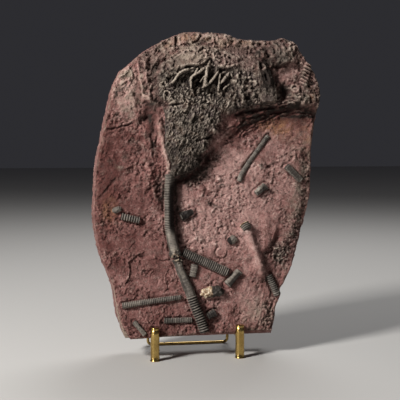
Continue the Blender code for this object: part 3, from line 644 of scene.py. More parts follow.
# ---- fossil stems
# Points of each axis (u, v).
STEM = [
    (-17, 109.5), (-17.8, 95), (-17.9, 85), (-17.8, 75), (-17, 70), (-16.2, 65), (-15, 60), (-13.9, 54.4),
]
STEM_LOWER = [
    (-13.2, 52.6), (-11, 45), (-8.8, 40), (-6.8, 35), (-4.7, 30), (-3, 25), (-1.2, 20), (0.9, 15),
    (2.8, 10), (4.9, 3.4),
]
# Loose pieces: axis, radius at each end, how far the axis stands above the rock at each end, ring pitch
# and depth, tone (0 dark to 1 pale, or one for each end), how square it is (2 is round), how far it is
# worn, and how much is calcite.
FRAGMENTS = {
    # The thick piece's tone is 0 at its upper left end: painted shade where it lies in shadow.
    "thick_stem_piece": (
        [(-8.2, 57), (21.7, 42.8)], (3.3, 3.4), (0, 1.6), (1.4, 0.8), (0, 0.7), 2, 0.3, 0),
    "left_stem_piece": ([(-50, 82), (-38.5, 79.2)], (2.4, 2.4), (0.9, 0.9), (1.65, 0.5), 0.6, 2, 0.1, 0),
    "long_stem_piece": (
        [(-50, 22.2), (-29.7, 24.8), (-10.8, 26.8)], (2.2, 1.8), (0.4, 0.6), (1.25, 0.34), (0.95, 0.4), 2,
        0.3, 0),
    "bottom_stem_piece": ([(-22, 11.2), (-3.4, 11.3)], (1.9, 1.9), (0.2, 0.2), (1.2, 0.3), 0.45, 3, 0.4, 0),
    "bottom_stem_end": ([(7.9, 13.2), (12.7, 15.6)], (2.6, 3), (0.4, 0.6), (1.6, 0.2), 0.3, 3, 0.8, 0),
    "small_stub": ([(-2.5, 40.8), (-0.8, 48.5)], (2.5, 2.5), (0.3, 0.8), (1.5, 0.15), 0.65, 3.5, 0.6, 0),
    "broken_block": ([(21.5, 34.6), (29.8, 43.4)], (3, 2.8), (1, 1.2), (2.6, 0.1), 0.95, 5, 1, 0),
    "smooth_rod": ([(31, 105.2), (32.6, 110), (39.4, 120), (46.9, 130), (51.5, 136)], (1.65, 1.5), (0.5, 0),
                   (1.2, 0.05), (0.75, 0.25), 2, 0.7, 0),
    "right_stub": ([(64.5, 115), (74.5, 105.5)], (2.5, 2.3), (0.5, 0.3), (1.5, 0.05), 0.5, 6, 0.4, 0),
    "right_block": ([(42.5, 96.6), (49, 101.4)], (2.2, 3.2), (0.8, 0.5), (2, 0), 0.8, 4, 1.6, 0),
    "dark_fragment": ([(-9.6, 81), (-2, 84.6)], (3.2, 2.5), (0.6, 0.2), (2, 0), 0, 4, 2, 0),
    "edge_stem_piece": (
        [(50.5, 40), (53.5, 33), (56.3, 26.5)], (2.5, 2.6), (0.2, 0.6), (1.4, 0.4), 0.3, 2, 0.4, 0),
    "flat_strip": ([(-42.5, 11), (-35.5, 2.4)], (1.7, 1.7), (0.1, 0.1), (2, 0), 0.6, 7, 0.3, 0),
    "buried_stem_end": (
        [(33.6, 75.4), (35.2, 72.2)], (3.7, 3.4), (0, -0.8), (1.4, 0.8), 0.95, 2.4, 0.1, 0.3),
}
# How dark the sunken side of a piece is painted, the cosine of the turn at which it starts, and how many
# degrees it lies round from the top (below 0 to the left).  Turned to the side, on the blocks and the stem
# end, it is painted shade on the underside; on the right stub and the dark fragment it darkens the top.
SUNK = {"right_stub": (0.5, 0.78, 0), "dark_fragment": (0.97, 0.1, 0), "broken_block": (0.9, 0.1, -72),
        "right_block": (0.85, 0.2, -65), "bottom_stem_end": (0.85, -0.1, -30)}
# Knobs: middle, half sizes along and across, turn in degrees, height above the rock, how far its foot is
# black and how far it is calcite.
KNOBS = {
    "left_knob": (-53.2, 86.6, 3.1, 2.1, 25, 0.5, 0.3, 0),
    "small_knob": (25.3, 64.9, 3.2, 2.7, 35, 0.8, 1, 0),
    "nodule": (10.9, 29.9, 7.7, 3.6, 5, 0.9, 0, 0.42),
}
MOAT_DEPTH, MOAT_WIDTH = 0.8, 0.8
STEM_RADIUS = 3.7
STEM_LIFT, STEM_END = 2.4, 2.2  # how far the upper axis stands above the rock, and w of its lower end
FINE_RINGS, COARSE_RINGS, FAINT_RINGS = (1.08, 0.6), (1.7, 1.05), (2.9, 0.08)  # pitch and depth
GROOVE = 0.29  # half width of a joint, of its pitch
BREAK = 0.06  # half width of the crumbled place, of the stem's length
END_STEPS, END_WIDTHS = np.array([[0.55], [0.45], [0.2]]), [0.4, 0.8, 0.96]


def beds(u, v):
    """The narrow moat around each stem: depth · exp(-((distance to the axis - radius) / width)²)."""
    total = np.zeros(np.shape(u))
    routes = [(STEM, STEM_RADIUS), (STEM_LOWER, STEM_RADIUS + 0.1)]
    routes += [(row[0], max(row[1])) for name, row in FRAGMENTS.items() if name != "buried_stem_end"]
    for route, radius in routes:
        total = np.maximum(total, MOAT_DEPTH * bell(beside(route, u, v)[0] - radius, MOAT_WIDTH))
    return total


def on_rock(route, lift, step):
    """Points of a rod's axis, its ends as far above the rock as lift says, straight between."""
    flat = smooth_line(route, max(8, round(sum(map(math.dist, route[:-1], route[1:])) / step)))
    ends = [float(rock_height(*flat[i])) + lift[i] for i in (0, -1)]
    return np.column_stack([flat, np.linspace(*ends, len(flat))])


def with_ends(axis):
    """An axis with three close steps more at each end, and how wide each row is: the ends close in."""
    first, last = axis[0] - axis[1], axis[-1] - axis[-2]
    start = axis[0] + END_STEPS * first / np.linalg.norm(first)
    finish = axis[-1] + END_STEPS[::-1] * last / np.linalg.norm(last)
    width = np.concatenate([END_WIDTHS, np.ones(len(axis)), END_WIDTHS[::-1]])
    return np.vstack([start, axis, finish]), width[:, None]


def ringed(name, axis, radius, rings, look, shape, tone, worn, seed, calcite=0, around=44):
    """A rod of stacked discs: radius - depth · exp(-(distance to the nearest joint / groove)²) for each
    kind of ring (pitch, depth, share), times a cross-section's shape, less what is worn off.  Radius and
    tone may run from one value to another.  The cross-section's painted shading is painted shade above 0
    and painted highlight below 0."""
    path, width = with_ends(axis)
    length = lengths(path)[:, None]
    turn = np.linspace(0, 2 * math.pi, around, endpoint=False)[None]
    radius = (np.interp(length, length[[3, -4], 0], radius) if np.size(radius) == 2
              else np.pad(radius, 3, mode="edge")[:, None])
    girth = 3.0 * np.abs((turn + math.pi) % (2 * math.pi) - math.pi) + 0 * length
    flat = length + 0 * turn
    gone = smoothly(rough(flat, girth, 5, 3, seed + 5), 0.0, 0.7)
    dents = 0.14 * rough(flat, girth, 1.8, 3, seed + 9) * min(1.0, 0.4 + worn)
    dents = dents + 0.3 * max(0.0, worn - 0.7) * rough(flat, girth, 5, 3, seed + 11, keep=0.7)
    radii = radius - 0.25 * worn * gone + dents
    # crest and dark feed the fine mark: painted highlight on ring crests, painted shade in joints and
    # dents.
    dark, crest = np.zeros(np.shape(girth)), np.full(np.shape(girth), 0.5)
    for pitch, depth, share in rings:
        share = np.pad(share + 0 * axis[:, 0], 3, mode="edge")[:, None]
        crest = crest + 0.4 * min(1.0, 2.5 * depth) * share
        wavy = length + 0.12 * pitch * swell(flat, girth, 4 * pitch, seed)
        joint = np.abs((wavy / pitch + 0.5) % 1 - 0.5) * pitch
        groove = bell(joint, GROOVE * pitch) * share * (1 - 0.7 * gone * min(1.0, worn))
        radii = radii - depth * groove
        dark = dark + min(1.0, 2.5 * depth) * groove
    along = length / length[-1]
    form, stain_and_painted_shading = shape(along, turn)
    tone = np.interp(along, (0, 1), tone) if np.size(tone) == 2 else tone
    ragged = 0.1 * rough(flat, girth, 4, 3, seed + 21)
    pale = smoothly(calcite + ragged - along, -0.03, 0.03) * (calcite > 0)
    # dark: painted shade of the cross-section and the closing ends; cream: calcite and painted highlight.
    marks = {
        "fine": crest - 2.3 * dark + 2.5 * dents,
        "tone": np.clip(tone + 0.35 * rough(flat, girth, 6, 3, seed + 15), 0, 1),
        "cream": np.maximum(pale, np.clip(-stain_and_painted_shading, 0, 1)),
        "dark": np.maximum(stain_and_painted_shading + 0 * girth, 0.6 * (width < 1) * (1 - pale)),
    }
    points, marks = with_poles(sweep(path, (0, 0, 1), radii * form * width), path[[0, -1]], marks)
    solid(name + "_fossil", points, tube_faces(len(path), around), look, name, marks)


def to_the_right(turn):
    """The angle round a rod from its top, above 0 on its right."""
    return (-turn + math.pi) % (2 * math.pi) - math.pi


def crumbled(share, turn, near):
    """Crumbs where the stem is broken through, round the share near: dents, and chips painted black as
    shade where the crumb is sunk and pale (below 0) as painted highlight where it stands out."""
    close = bell(share - near, BREAK)
    crumbs = rough(60 * share + 0 * turn, 3.4 * to_the_right(turn) + 0 * share, 1.9, 3, 217, keep=0.8)
    return 0.34 * close * crumbs, close * (smoothly(-crumbs, 0.02, 0.25) - 0.6 * smoothly(crumbs, 0.1, 0.4))


def crushed(share, turn):
    """The upper stem's cross-section and painted shade: pressed flat and painted black as shade on its
    right, its crest left of the middle, and painted dark as shade on both sides further down."""
    right = np.degrees(to_the_right(turn))
    press = 1 - smoothly(share, 0.62, 0.8)
    black = smoothly(right, -26, 0) * press * smoothly(share, 0.05, 0.16)
    black = np.maximum(black, 0.85 * smoothly(right, 20, 46))
    black = np.maximum(black, 0.7 * smoothly(-right, 42, 62) * (1 - press))
    black = black * (1 - smoothly(np.radians(right), 2.4, 2.8)) * smoothly(share, 0.02, 0.12)
    dents, chips = crumbled(share, turn, 0.985)
    form = 1 - press * (0.32 * bell(right - 58, 38) - 0.05 * bell(right + 14, 28))
    return form + dents, np.where(np.abs(chips) > black, chips, black)


def worn_smooth(share, turn):
    """The lower stem's cross-section and painted shade: round, painted dark as shade along its right, and
    along its left down to where its rings start."""
    right = to_the_right(turn)
    dents, chips = crumbled(share, turn, 0.01)
    upper = 1 - smoothly(share, 0.42, 0.52)
    sides = np.maximum(smoothly(-right, 0.1, 0.7) * upper, 0.8 * smoothly(right, 0.45, 0.85))
    sides = 0.9 * sides * (0.6 + 0.4 * swell(12 * share + 0 * turn, 2 * turn + 0 * share, 1.0, 219))
    return 1 + dents, np.where(np.abs(chips) > sides, chips, sides)


def squared(power, sunk=0.0, reach=0.78, side=0):
    """A cross-section between a circle (2) and a square: 1 / (|cos a|ⁿ + |sin a|ⁿ)^(1/n).  Where it is
    sunk, the middle of one side is lower and painted dark, as painted shade where that side is an
    underside."""
    def section(share, turn):
        round_off = (np.abs(np.cos(turn)) ** power + np.abs(np.sin(turn)) ** power) ** (-1 / power)
        hollow = smoothly(np.cos(turn + math.radians(side)), reach, reach + 0.12)
        hollow = sunk * hollow * smoothly(share, 0.05, 0.1) * (1 - smoothly(share, 0.9, 0.95))
        return round_off * (1 - 0.03 * min(power - 2, 3)) - 0.12 * hollow, hollow
    return section


def make_stem(look):
    """The stem: fine rings below the crown, a smooth middle, and coarse rings at the lower end."""
    height = rock_height(*smooth_line(STEM, 36).T).mean() + STEM_LIFT
    flat = smooth_line(STEM, 340)
    upper = np.column_stack([flat, np.full(len(flat), height)])
    clear = 0.12 + 0.88 * smoothly(flat[:, 1], 67, 77)
    ringed("stem", upper, (STEM_RADIUS, STEM_RADIUS), [(*FINE_RINGS, clear)], look, crushed,
           tone=0.75, worn=0.15, seed=201, around=72)
    flat = smooth_line(STEM_LOWER, 380)
    lower = np.column_stack([flat, np.linspace(height, STEM_END, len(flat))])
    coarse = smoothly(28 - flat[:, 1], -1, 1.5)
    rings = [(*COARSE_RINGS, coarse), (*FAINT_RINGS, 1 - coarse)]
    radius = 2.9 + 0.5 * smoothly(45 - flat[:, 1], 0, 12) + 0.4 * coarse
    ringed("stem_lower", lower, radius, rings, look, worn_smooth, tone=(0.75, 0.1), worn=0.2,
           seed=211, around=72)


def make_fragments(look):
    """Every loose piece of stem, and the knobs."""
    for k, (name, row) in enumerate(FRAGMENTS.items()):
        route, radius, lift, (pitch, depth), tone, square, worn, calcite = row
        axis = on_rock(route, lift, min(0.2, pitch / 6))
        section = squared(square, *SUNK.get(name, ()))
        ringed(name, axis, radius, [(pitch, depth, 1)], look, section, tone, worn,
               seed=300 + 40 * k, calcite=calcite)
    for k, (name, row) in enumerate(KNOBS.items()):
        make_knob(name, *row, look, "nodule" if name == "nodule" else "stem_pieces", 801 + k)


def make_knob(name, mu, mv, long, wide, turn, lift, black, calcite, look, slot, seed):
    """A lumpy blunt stone: half length · cos b and half width · sin b, both to a small power, times its
    lumps."""
    rows, around = 63, 96
    a = np.linspace(0, 2 * math.pi, around, endpoint=False)[None]
    b = np.linspace(0, math.pi, rows + 2)[1:-1, None]
    p = long * np.sign(np.cos(b)) * np.abs(np.cos(b)) ** 0.8 + 0 * a
    q, w = wide * np.sin(b) ** 0.7 * np.sin(a), wide * np.sin(b) ** 0.7 * np.cos(a)
    bent = wander(p, q + 0.6 * w, 3.0, 0.5, seed)
    lumpy = 1 + 0.16 * rough(*bent, 3.0, 4, seed + 3, keep=0.7)
    p, q, w = p * lumpy, q * lumpy, w * lumpy * (1 + 0.25 * p / long)
    c, s = math.cos(math.radians(turn)), math.sin(math.radians(turn))
    base = float(rock_height(mu, mv)) + lift
    points = np.dstack([mu + p * c - q * s, mv + p * s + q * c, base + w])
    poles = [[mu + long * c, mv + long * s, base], [mu - long * c, mv - long * s, base]]
    pale = smoothly(2 * calcite - 1 + 0.5 * rough(*bent, 4.0, 3, seed + 7) - p / long, -0.1, 0.1)
    marks = {"fine": 3.5 * (lumpy - 1), "tone": 0.8 - 0.7 * (calcite > 0) + 0 * p,
             "cream": pale * (calcite > 0), "dark": black * smoothly(-p / long + 0.3 * q / wide, 0.15, 0.5)}
    points, marks = with_poles(points, poles, marks)
    faces = [part[:, ::-1] for part in tube_faces(rows, around)]
    solid(name + "_fossil", points, faces, look, name, marks)


# ---- the crown
# Its outline, from its neck, in four runs.
CROWN_LEFT = [
    (-18.6, 108.5), (-16.5, 113), (-16, 118), (-19, 124), (-20, 130), (-20, 138), (-19.5, 145), (-20, 152),
    (-22, 157), (-28, 159), (-30.5, 165), (-29.5, 172), (-27.5, 180), (-23.5, 188),
]
CROWN_TOP = [
    (-23.5, 188), (-12, 197), (0, 203), (10, 203.2), (20, 201.8), (28, 199.4), (38, 198), (46.5, 192.5),
]
CROWN_RIGHT = [
    (-14.6, 108.5), (-10, 110), (-5, 111.5), (0, 114), (5, 119.5), (9, 124), (13, 130), (17, 136),
    (20, 142), (23, 149), (30, 153), (38, 156.3), (50, 158), (56, 158.8), (55.6, 170), (53, 178),
    (49.6, 186), (46.5, 192.5),
]
CROWN_NECK = [(-18.6, 108.5), (-14.6, 108.5)]
CROWN_ACROSS, CROWN_UP = 236, 332
CROWN_CELL = 0.3
CROWN_SEAT = -3.0  # the bed that it lies in
# How high its dome is from neck to top, and what share of that it has from left to right.
CROWN_SPINE = ([0, 0.12, 0.3, 0.5, 0.75, 0.9, 1], [4.2, 6.2, 8.6, 10.4, 10.8, 9, 5.2])
CROWN_EDGE = ([0, 0.12, 0.35, 0.85, 0.96, 1], [0.42, 0.72, 1, 1.02, 0.95, 0.8])
# The forms on its face are laid out on the plane of the rock and stand out from there to the left.
SPREAD, SHIFT = 1.0155, 1.5

# The arms that stand free in the hollow: half width, how high the top stands, points.
ARMS = [
    (1.05, 0.5, (-17.2, 169.2), (-15.9, 170.5), (-13.4, 172.4), (-10.9, 175.5), (-9, 178), (-6.8, 179.2),
     (-4.6, 179.9), (-0.3, 181.1)), (0.6, -0.6, (-8.8, 176.8), (-7, 178.2), (-4, 178.9)),
    (1, 0.6, (-1.6, 168), (-1.5, 171.1), (-1.8, 173), (-0.9, 174.9), (1, 176.8), (3.5, 177.8), (6, 179.9),
     (9.1, 183), (9.9, 184.6)), (0.7, 0.3, (1, 176.8), (2.9, 180.3), (3.6, 181.8)),
    (1.35, 1, (7.3, 169.3), (8.5, 173), (9.1, 176.8), (9.8, 180.5), (11, 184.3), (12, 186.8)),
    (0.6, 0, (5, 172), (7.4, 175.6)),
    (1, 0.7, (6.6, 168), (11, 171.1), (14.1, 174.3), (16, 176.8), (17.4, 178.9)),
    (0.85, 0.3, (17.3, 166), (17.9, 170.5), (18.2, 174.3), (18.8, 177.6)),
    (1.05, 0.7, (19.2, 171), (22.3, 174.9), (25, 178.2)),
    (0.7, -1.2, (21, 167), (23.5, 169.3), (25.6, 171)),
    (0.75, 0.3, (25.6, 178.5), (27.2, 175.8), (28.5, 175.3), (30, 176.2), (31.6, 179.3)),
    (0.6, 0, (28.4, 177), (29.4, 178.6)),
    (0.8, 0.7, (-19.5, 160), (-20.2, 163), (-19, 165.6), (-16.6, 165), (-15.4, 162.5), (-16.4, 160)),
    (0.9, 0.5, (-17.6, 167), (-19, 171), (-18.6, 175), (-17.2, 178.6)),
]
# The hollow under the arms, the plates and lumps round it, and the swellings of the top.
HOLLOWS = [
    (-7, 174, 8, 6, 35, -4.6), (3, 172.5, 6, 8, -4.6), (12, 172, 6, 9, -4.6), (22.5, 171, 5, 8, -5),
    (-2, 162, 15, 5, -1), (13, 163.5, 9, 4, -2.6), (38, 171, 2.2, 1.2, -2.4), (40.8, 170, 1.2, 1.2, -2.4),
    (37, 161.3, 1.2, 1.6, -1.9), (39.2, 161, 0.8, 1.6, -1.6), (28.3, 167.5, 1, 1, -2.4),
    (-17.4, 163, 0.9, 1.1, -2.6), (12, 135.5, 3.2, 3.6, 35, -2), (35.5, 184.5, 3, 3.2, -0.5),
    (0, 150, 20, 5, 8, -0.8),
]
CROWN_LUMPS = [
    (-18.5, 174.5, 1.3, 2, 1.6), (-1, 166.4, 1, 0.9, 2.2), (-3.4, 167.6, 0.9, 0.9, 2),
    (-0.4, 164.4, 0.8, 0.8, 1.6), (-7, 162, 1.4, 1, 30, 1.9), (-15, 159.6, 2.4, 1.4, 1.3),
    (-22.5, 159.2, 0.8, 0.8, 1.4), (18, 163.8, 1.9, 1.4, 2.2), (41.8, 163.4, 1.1, 1.8, -20, 2),
    (38.3, 158.7, 0.8, 0.8, 1.5), (43.2, 171.5, 1.2, 3, 10, 1.6), (24, 157, 0.9, 2.8, -25, 2),
    (30.5, 172.3, 1.5, 1.6, 1.4), (-13.7, 128, 0.8, 1.2, 1.2), (-9.8, 112.5, 0.7, 0.7, 1),
    (-1, 190, 9, 5, 20, 1.2), (-3, 203, 7, 3, 10, 1.6), (28, 191, 9, 6, -10, 1), (16, 189, 3, 6, 20, 0.8),
    (-17, 199, 4, 2, 30, 1.2), (32.4, 199.3, 0.8, 0.8, 0.9), (34, 158.3, 1.1, 1.5, 1.8),
    (33.8, 161.6, 1, 1.4, 1.7), (32.3, 165, 0.9, 1.3, -25, 1.6), (33.6, 168.6, 0.9, 1.6, -15, 1.7),
    (34.6, 171.6, 0.8, 1.1, 1.4), (45, 157.5, 2.2, 0.9, 10, 1.2), (50, 166, 1.2, 2.4, 1),
]
CREASES = [
    (0.8, -2.6, (-24, 157.5), (-17, 156.3), (-10, 157), (-6, 157.6)),
    (0.8, -2, (1, 131.5), (5.5, 133), (9.6, 134), (14, 137)), (0.6, -1.6, (-14.5, 148), (-13, 152.5)),
    (0.6, -1.6, (-13, 167), (-11, 169)), (0.7, -1.6, (-29, 165.5), (-27, 166.5)),
    (0.7, -1.8, (-26.5, 178), (-24.8, 181), (-22.7, 184.3)), (0.9, -1.8, (-21.5, 186), (-17.7, 187.6)),
    (0.8, -1.6, (-22.7, 191.6), (-18.4, 193.6)), (0.8, -1.7, (-14.6, 187.4), (-11, 190.4), (-7.1, 193)),
    (0.7, -1.8, (4, 192.6), (6.6, 193.6), (7.4, 195), (10, 194)),
    (0.7, -1.4, (11, 192), (12.2, 194), (13.4, 196)), (1, -2.2, (40, 196.2), (42.5, 193.6), (46, 188.7)),
    (0.9, -2.2, (47.6, 186), (47.8, 183), (48.8, 181)), (0.8, -2, (50.6, 178), (51.2, 175), (52, 172.7)),
    (0.6, -1.6, (31, 158), (33, 160)), (0.7, -1.8, (36, 174), (38, 173), (40, 174.2), (42, 173)),
    (0.5, -1.4, (39.5, 167.2), (41, 167.6), (43, 167)), (0.9, -2, (17.5, 179.9), (20, 179.6), (23, 180.2)),
    (0.6, -1.6, (26, 161), (28, 163), (29, 165)),
]
FINE_RIDGES = [
    (0.9, 1.3, (-18, 145), (-15.6, 152)), (0.9, 1.4, (-3.6, 144), (-1.2, 147.5), (1, 151)),
    (0.8, 1.2, (-6.5, 151), (-4, 156)), (0.5, 1, (-2.7, 128.4), (-1.4, 124.5), (0.4, 122.2)),
    (0.7, 1, (-9.5, 141), (-8, 145)), (0.6, 1, (2.2, 118.2), (3.4, 120)),
    (0.7, 1.4, (-5, 156), (-3, 159), (-1.5, 161)), (0.8, 1, (22.4, 142.8), (25, 146.5)),
    (0.7, 1.4, (42, 195.6), (43.8, 193), (45.3, 190.7)), (0.7, 1.3, (49.6, 185.6), (50.6, 180.8)),
    (0.9, 1.3, (53.4, 175.6), (53.8, 169.4)), (1, 0.8, (45.6, 187), (45.4, 180)),
    (0.8, 0.9, (23.4, 202), (23.5, 198)), (0.7, 1.2, (14.2, 195.8), (15.8, 198.6)),
    (0.8, 1.1, (8.2, 187), (9.4, 190.6)),
]
KNUCKLE = [(12.5, 136, 3, 3.6, 35, 1)]  # a smooth place low on the right
# Where the rock hangs over the arms: from here up the hollow ends at a lip.
LIP = [
    (-32, 176), (-18, 179.5), (-10, 181), (-4.6, 182.2), (1, 182.9), (6, 183.2), (9.5, 186.2), (11.4, 188),
    (14, 185.5), (18, 181.5), (24, 180.8), (28, 182), (33, 180.5), (40, 178), (47, 180),
]
LIP_RISE = 1.4
BEAD = 1.8  # how far apart the swellings of an arm are
CROWN_STEPS = np.array([[0.08], [0.2], [0.36], [0.52], [0.68], [0.84], [1]])  # its side's rings, going down


def crown_zones(u, v):
    """How far each point of the crown belongs to the rock over the lip, the lip itself, the cup, the
    folded flank, the knobs at the right, and the rough ground at the left; the rest is the arms' floor."""
    over = past(LIP, u, v + 0.8 * swell(u, v, 4.0, 399))
    sharp = smoothly(u, -13, -5) * (1 - smoothly(u, 27, 33))
    above = smoothly(over / (0.5 + 3.5 * (1 - sharp)), -0.8, 1.0)
    lip = above * (1 - smoothly(over, 0, 12)) * sharp
    cup = 1 - smoothly(v + 0.1 * u, 153, 159)
    flank = smoothly(u + 0.22 * (v - 160), 45.5, 48)
    right = smoothly(u, 22, 28) * (1 - above) * (1 - cup) * (1 - flank)
    left = (1 - smoothly(u, -18, -12)) * (1 - above) * (1 - cup)
    return above, lip, cup, flank, right, left


def crown_grain(u, v, above, cup, flank, right, left):
    """The crown's fine relief, a different one in each zone."""
    floor = (1 - above) * (1 - cup) * (1 - flank) * (1 - right) * (1 - left)
    along, across = turned(u + 0.8 * swell(u, v, 5, 401), v, 64, 2.0)
    plates = 0.75 * rough(along, across, 2.2, 4, 403, keep=0.8)
    plates += 0.5 * creased(*turned(u, v, 66, 2.4), 3.6, 3, 405)
    plates += 1.6 * rough(*turned(u, v, 62, 1.5), 9.0, 2, 407)
    plates -= 1.2 * lumps(*turned(u, v, 60, 1.4), 4.2, 410, 0.28)
    plates += 0.8 * (lumps(*turned(*wander(u, v, 3, 0.8, 413), 62, 1.7), 3.0, 411) - 0.5)
    bent = wander(u, v, 4.0, 1.0, 411)
    knobs = 2.2 * (lumps(*bent, 3.4, 413) - 0.5) + 0.9 * rough(u, v, 3.2, 4, 414, keep=0.75)
    ground = 1.3 * craggy(*turned(u, v, 55, 1.3), 3.2, 421) + 1.2 * left * (lumps(*bent, 4.2, 423) - 0.5)
    folds = 0.6 * creased(*turned(*wander(u, v, 6, 1.2, 441), 104, 3.0), 4.2, 2, 443)
    folds = folds * smoothly(v, 166, 172) + 0.4 * rough(u, v, 2.2, 3, 445, keep=0.7)
    height = plates * cup + knobs * right + ground * np.clip(floor + left, 0, 1)
    return height + folds * flank * (1 - above) + upper_grain(u, v) * above * (1 - 0.5 * flank)


def crown_relief(u, v, s, t):
    """Height of the crown's face: a dome with the hollow and the lip, its grain, and its larger forms."""
    dome = np.interp(t, *CROWN_SPINE) * np.interp(s, *CROWN_EDGE)
    u = u * SPREAD + SHIFT
    above, lip, *zones = crown_zones(u, v)
    height = dome + patches(u, v, HOLLOWS) * (1 - above) + LIP_RISE * lip
    height += crown_grain(u, v, above, *zones) * (1 - 0.8 * share_in(u, v, KNUCKLE))
    height += patches(u, v, CROWN_LUMPS) + strokes(u, v, CREASES) + strokes(u, v, FINE_RIDGES)
    tops = arm_tops(u, v, dome)
    return np.maximum(height, tops), smoothly(tops - height, -0.1, 0.5)


def arm_tops(u, v, dome):
    """Highest of the free arms: each a knobbly tube, dome + lift + radius · √(1 - (distance / radius)²)."""
    best = np.full(np.shape(u), -9.0)
    for k, (radius, lift, *points) in enumerate(ARMS):
        line = smooth_line(points, 24)
        near = boxed(line, 2 * radius, u, v)
        nu, nv = u[near], v[near]
        d, along, _ = beside(line, nu, nv)
        beads = along * sum(map(math.dist, points[:-1], points[1:])) / BEAD
        knob = 1 + 0.10 * np.cos(2 * math.pi * beads + k) + 0.3 * rough(nu, nv, 2.0, 3, 451)
        wide = 0.88 * radius * knob * (0.6 + 0.4 * smoothly(np.minimum(along, 1 - along), 0, 0.2))
        tube = np.sqrt(np.clip(1 - (d / wide) ** 2, 0, 1)) * wide
        sunk = 1.6 + 1.3 * smoothly(rough(nu, nv, 4.5, 2, 453), 0.0, 0.6)
        best[near] = np.maximum(best[near], np.where(d < wide, dome[near] + lift - sunk + 1.6 * tube, -9.0))
    return best


def make_crown(look):
    """The crown: its face on a grid, a ragged side down to its bed, and a flat underside."""
    grid = patch(CROWN_NECK, CROWN_RIGHT, CROWN_TOP, CROWN_LEFT, CROWN_ACROSS, CROWN_UP)
    u, v = grid[..., 0], grid[..., 1]
    s = np.linspace(0, 1, CROWN_ACROSS + 1)[None] + 0 * u
    t = np.linspace(0, 1, CROWN_UP + 1)[:, None] + 0 * u
    height, arm = crown_relief(u, v, s, t)
    ground = rock_height(u, v) + shoulder(u, v) + rock_grain(u, v) + strokes(u, v, TOP_CREASES)
    ledge_side = smoothly(s + 0.04 * rough(u, v, 4, 3, 487), 0.82, 1.0)
    ledge_side *= smoothly(v, 114, 124) * (1 - smoothly(v, 146, 154))
    left_side = (1 - smoothly(s, 0, 0.10)) * smoothly(v, 152, 158)
    top_side = smoothly(t, 0.9, 1.0) * (1 - smoothly(s, 0.97, 1))
    merge = np.maximum(np.maximum(left_side, top_side), ledge_side)
    height = height * (1 - merge) + (ground - 0.25) * merge
    fossil = 1 - 0.25 * smoothly(past(LIP, u * SPREAD + SHIFT, v), -1, 2)
    marks = stone_marks(u, v, height, CROWN_CELL, fossil * (1 - merge))
    # Less painted shade on the free arms, which stand out of the hollow, and a little more beige on them.
    marks["dark"] = np.clip(marks["dark"] * (1 - 0.6 * arm), 0, 1)
    marks["beige"] = np.clip(marks["beige"] + 0.1 * arm, 0, 1)
    front = np.dstack([u, v, height])

    edge = front.reshape(-1, 3)[rim(*u.shape)]
    along = np.roll(edge, -2, axis=0) - np.roll(edge, 2, axis=0)
    out = np.stack([along[:, 1], -along[:, 0]], axis=1)
    out /= np.maximum(np.linalg.norm(out, axis=1, keepdims=True), 1e-6)
    down = edge[:, 2] + (CROWN_SEAT - edge[:, 2]) * CROWN_STEPS
    bulge = 0.35 * creased(lengths(edge[:, :2]) + 0 * down, down, 3.0, 3, 479)
    bulge *= np.sin(math.pi * np.minimum(CROWN_STEPS, 0.9))
    side = np.dstack([edge[:, :2] + bulge[..., None] * out, down])
    under = grid[::BACK_STEP, ::BACK_STEP]
    under = np.dstack([under, np.full(under.shape[:2], CROWN_SEAT)])
    # The crown's side is marked 0.5 dark: painted shade down its side.
    side_marks, under_marks = {**EDGE_MARKS, "fine": bulge, "grey": 1, "dark": 0.5}, dict.fromkeys(marks, 0)
    shell("crown_fossil", front, side, under, marks, side_marks, under_marks, look, "crown")


# ---- colours of the stone
# The red rock runs from 0, dark red brown, over 0.5, brick, to 1, pale pink.  The rows below 0 under the
# cone's tip and along the ledge are painted shade where the crown's shadow falls.
TONES = [
    (22, 90, 50, 50, 0.52), (3, 68, 12, 6, -28, 0.45), (-46, 154, 9, 9, 0.25), (30, 115, 26, 14, 30, 0.14),
    (36, 22, 14, 12, 0.28), (-47, 166, 11, 12, 0.3), (-62, 110, 14, 40, -0.44), (-38, 104, 14, 18, -0.2),
    (-50, 66, 18, 26, -0.18), (-30, 76, 9, 22, -0.05), (-46, 160, 10, 18, 0.15), (-38, 140, 12, 16, -0.05),
    (-44, 178, 9, 9, 0.35), (-43.5, 180, 3, 5, 30, 0.4), (64, 120, 9, 16, 0.1), (54, 60, 8, 20, -0.12),
    (-34, 134, 8, 16, -0.1), (-34, 46, 8, 9, -0.16), (-18, 128, 5, 22, 5, 0.3), (-15, 4, 40, 10, -0.22),
    (-27, 110, 5, 12, -0.2), (-2, 108, 12, 6, 20, -0.3), (10, 100, 12, 5, 40, -0.18), (46, 125, 8, 8, -0.1),
    (64, 180, 9, 4.5, 30, 0.5), (58, 183, 5, 3, -0.6), (62, 165, 5, 7, -0.5), (60, 150, 24, 7, 8, -0.5),
    (30, 140, 14, 8, 35, -0.35), (46, 149.5, 18, 4.5, 12, -0.45), (38.6, 59, 3.6, 13, 18, 0.06),
    (19, 12, 4, 8, 40, 0.3), (78, 148, 10, 5, -0.3), (-31, 150, 4, 12, -0.25),
]
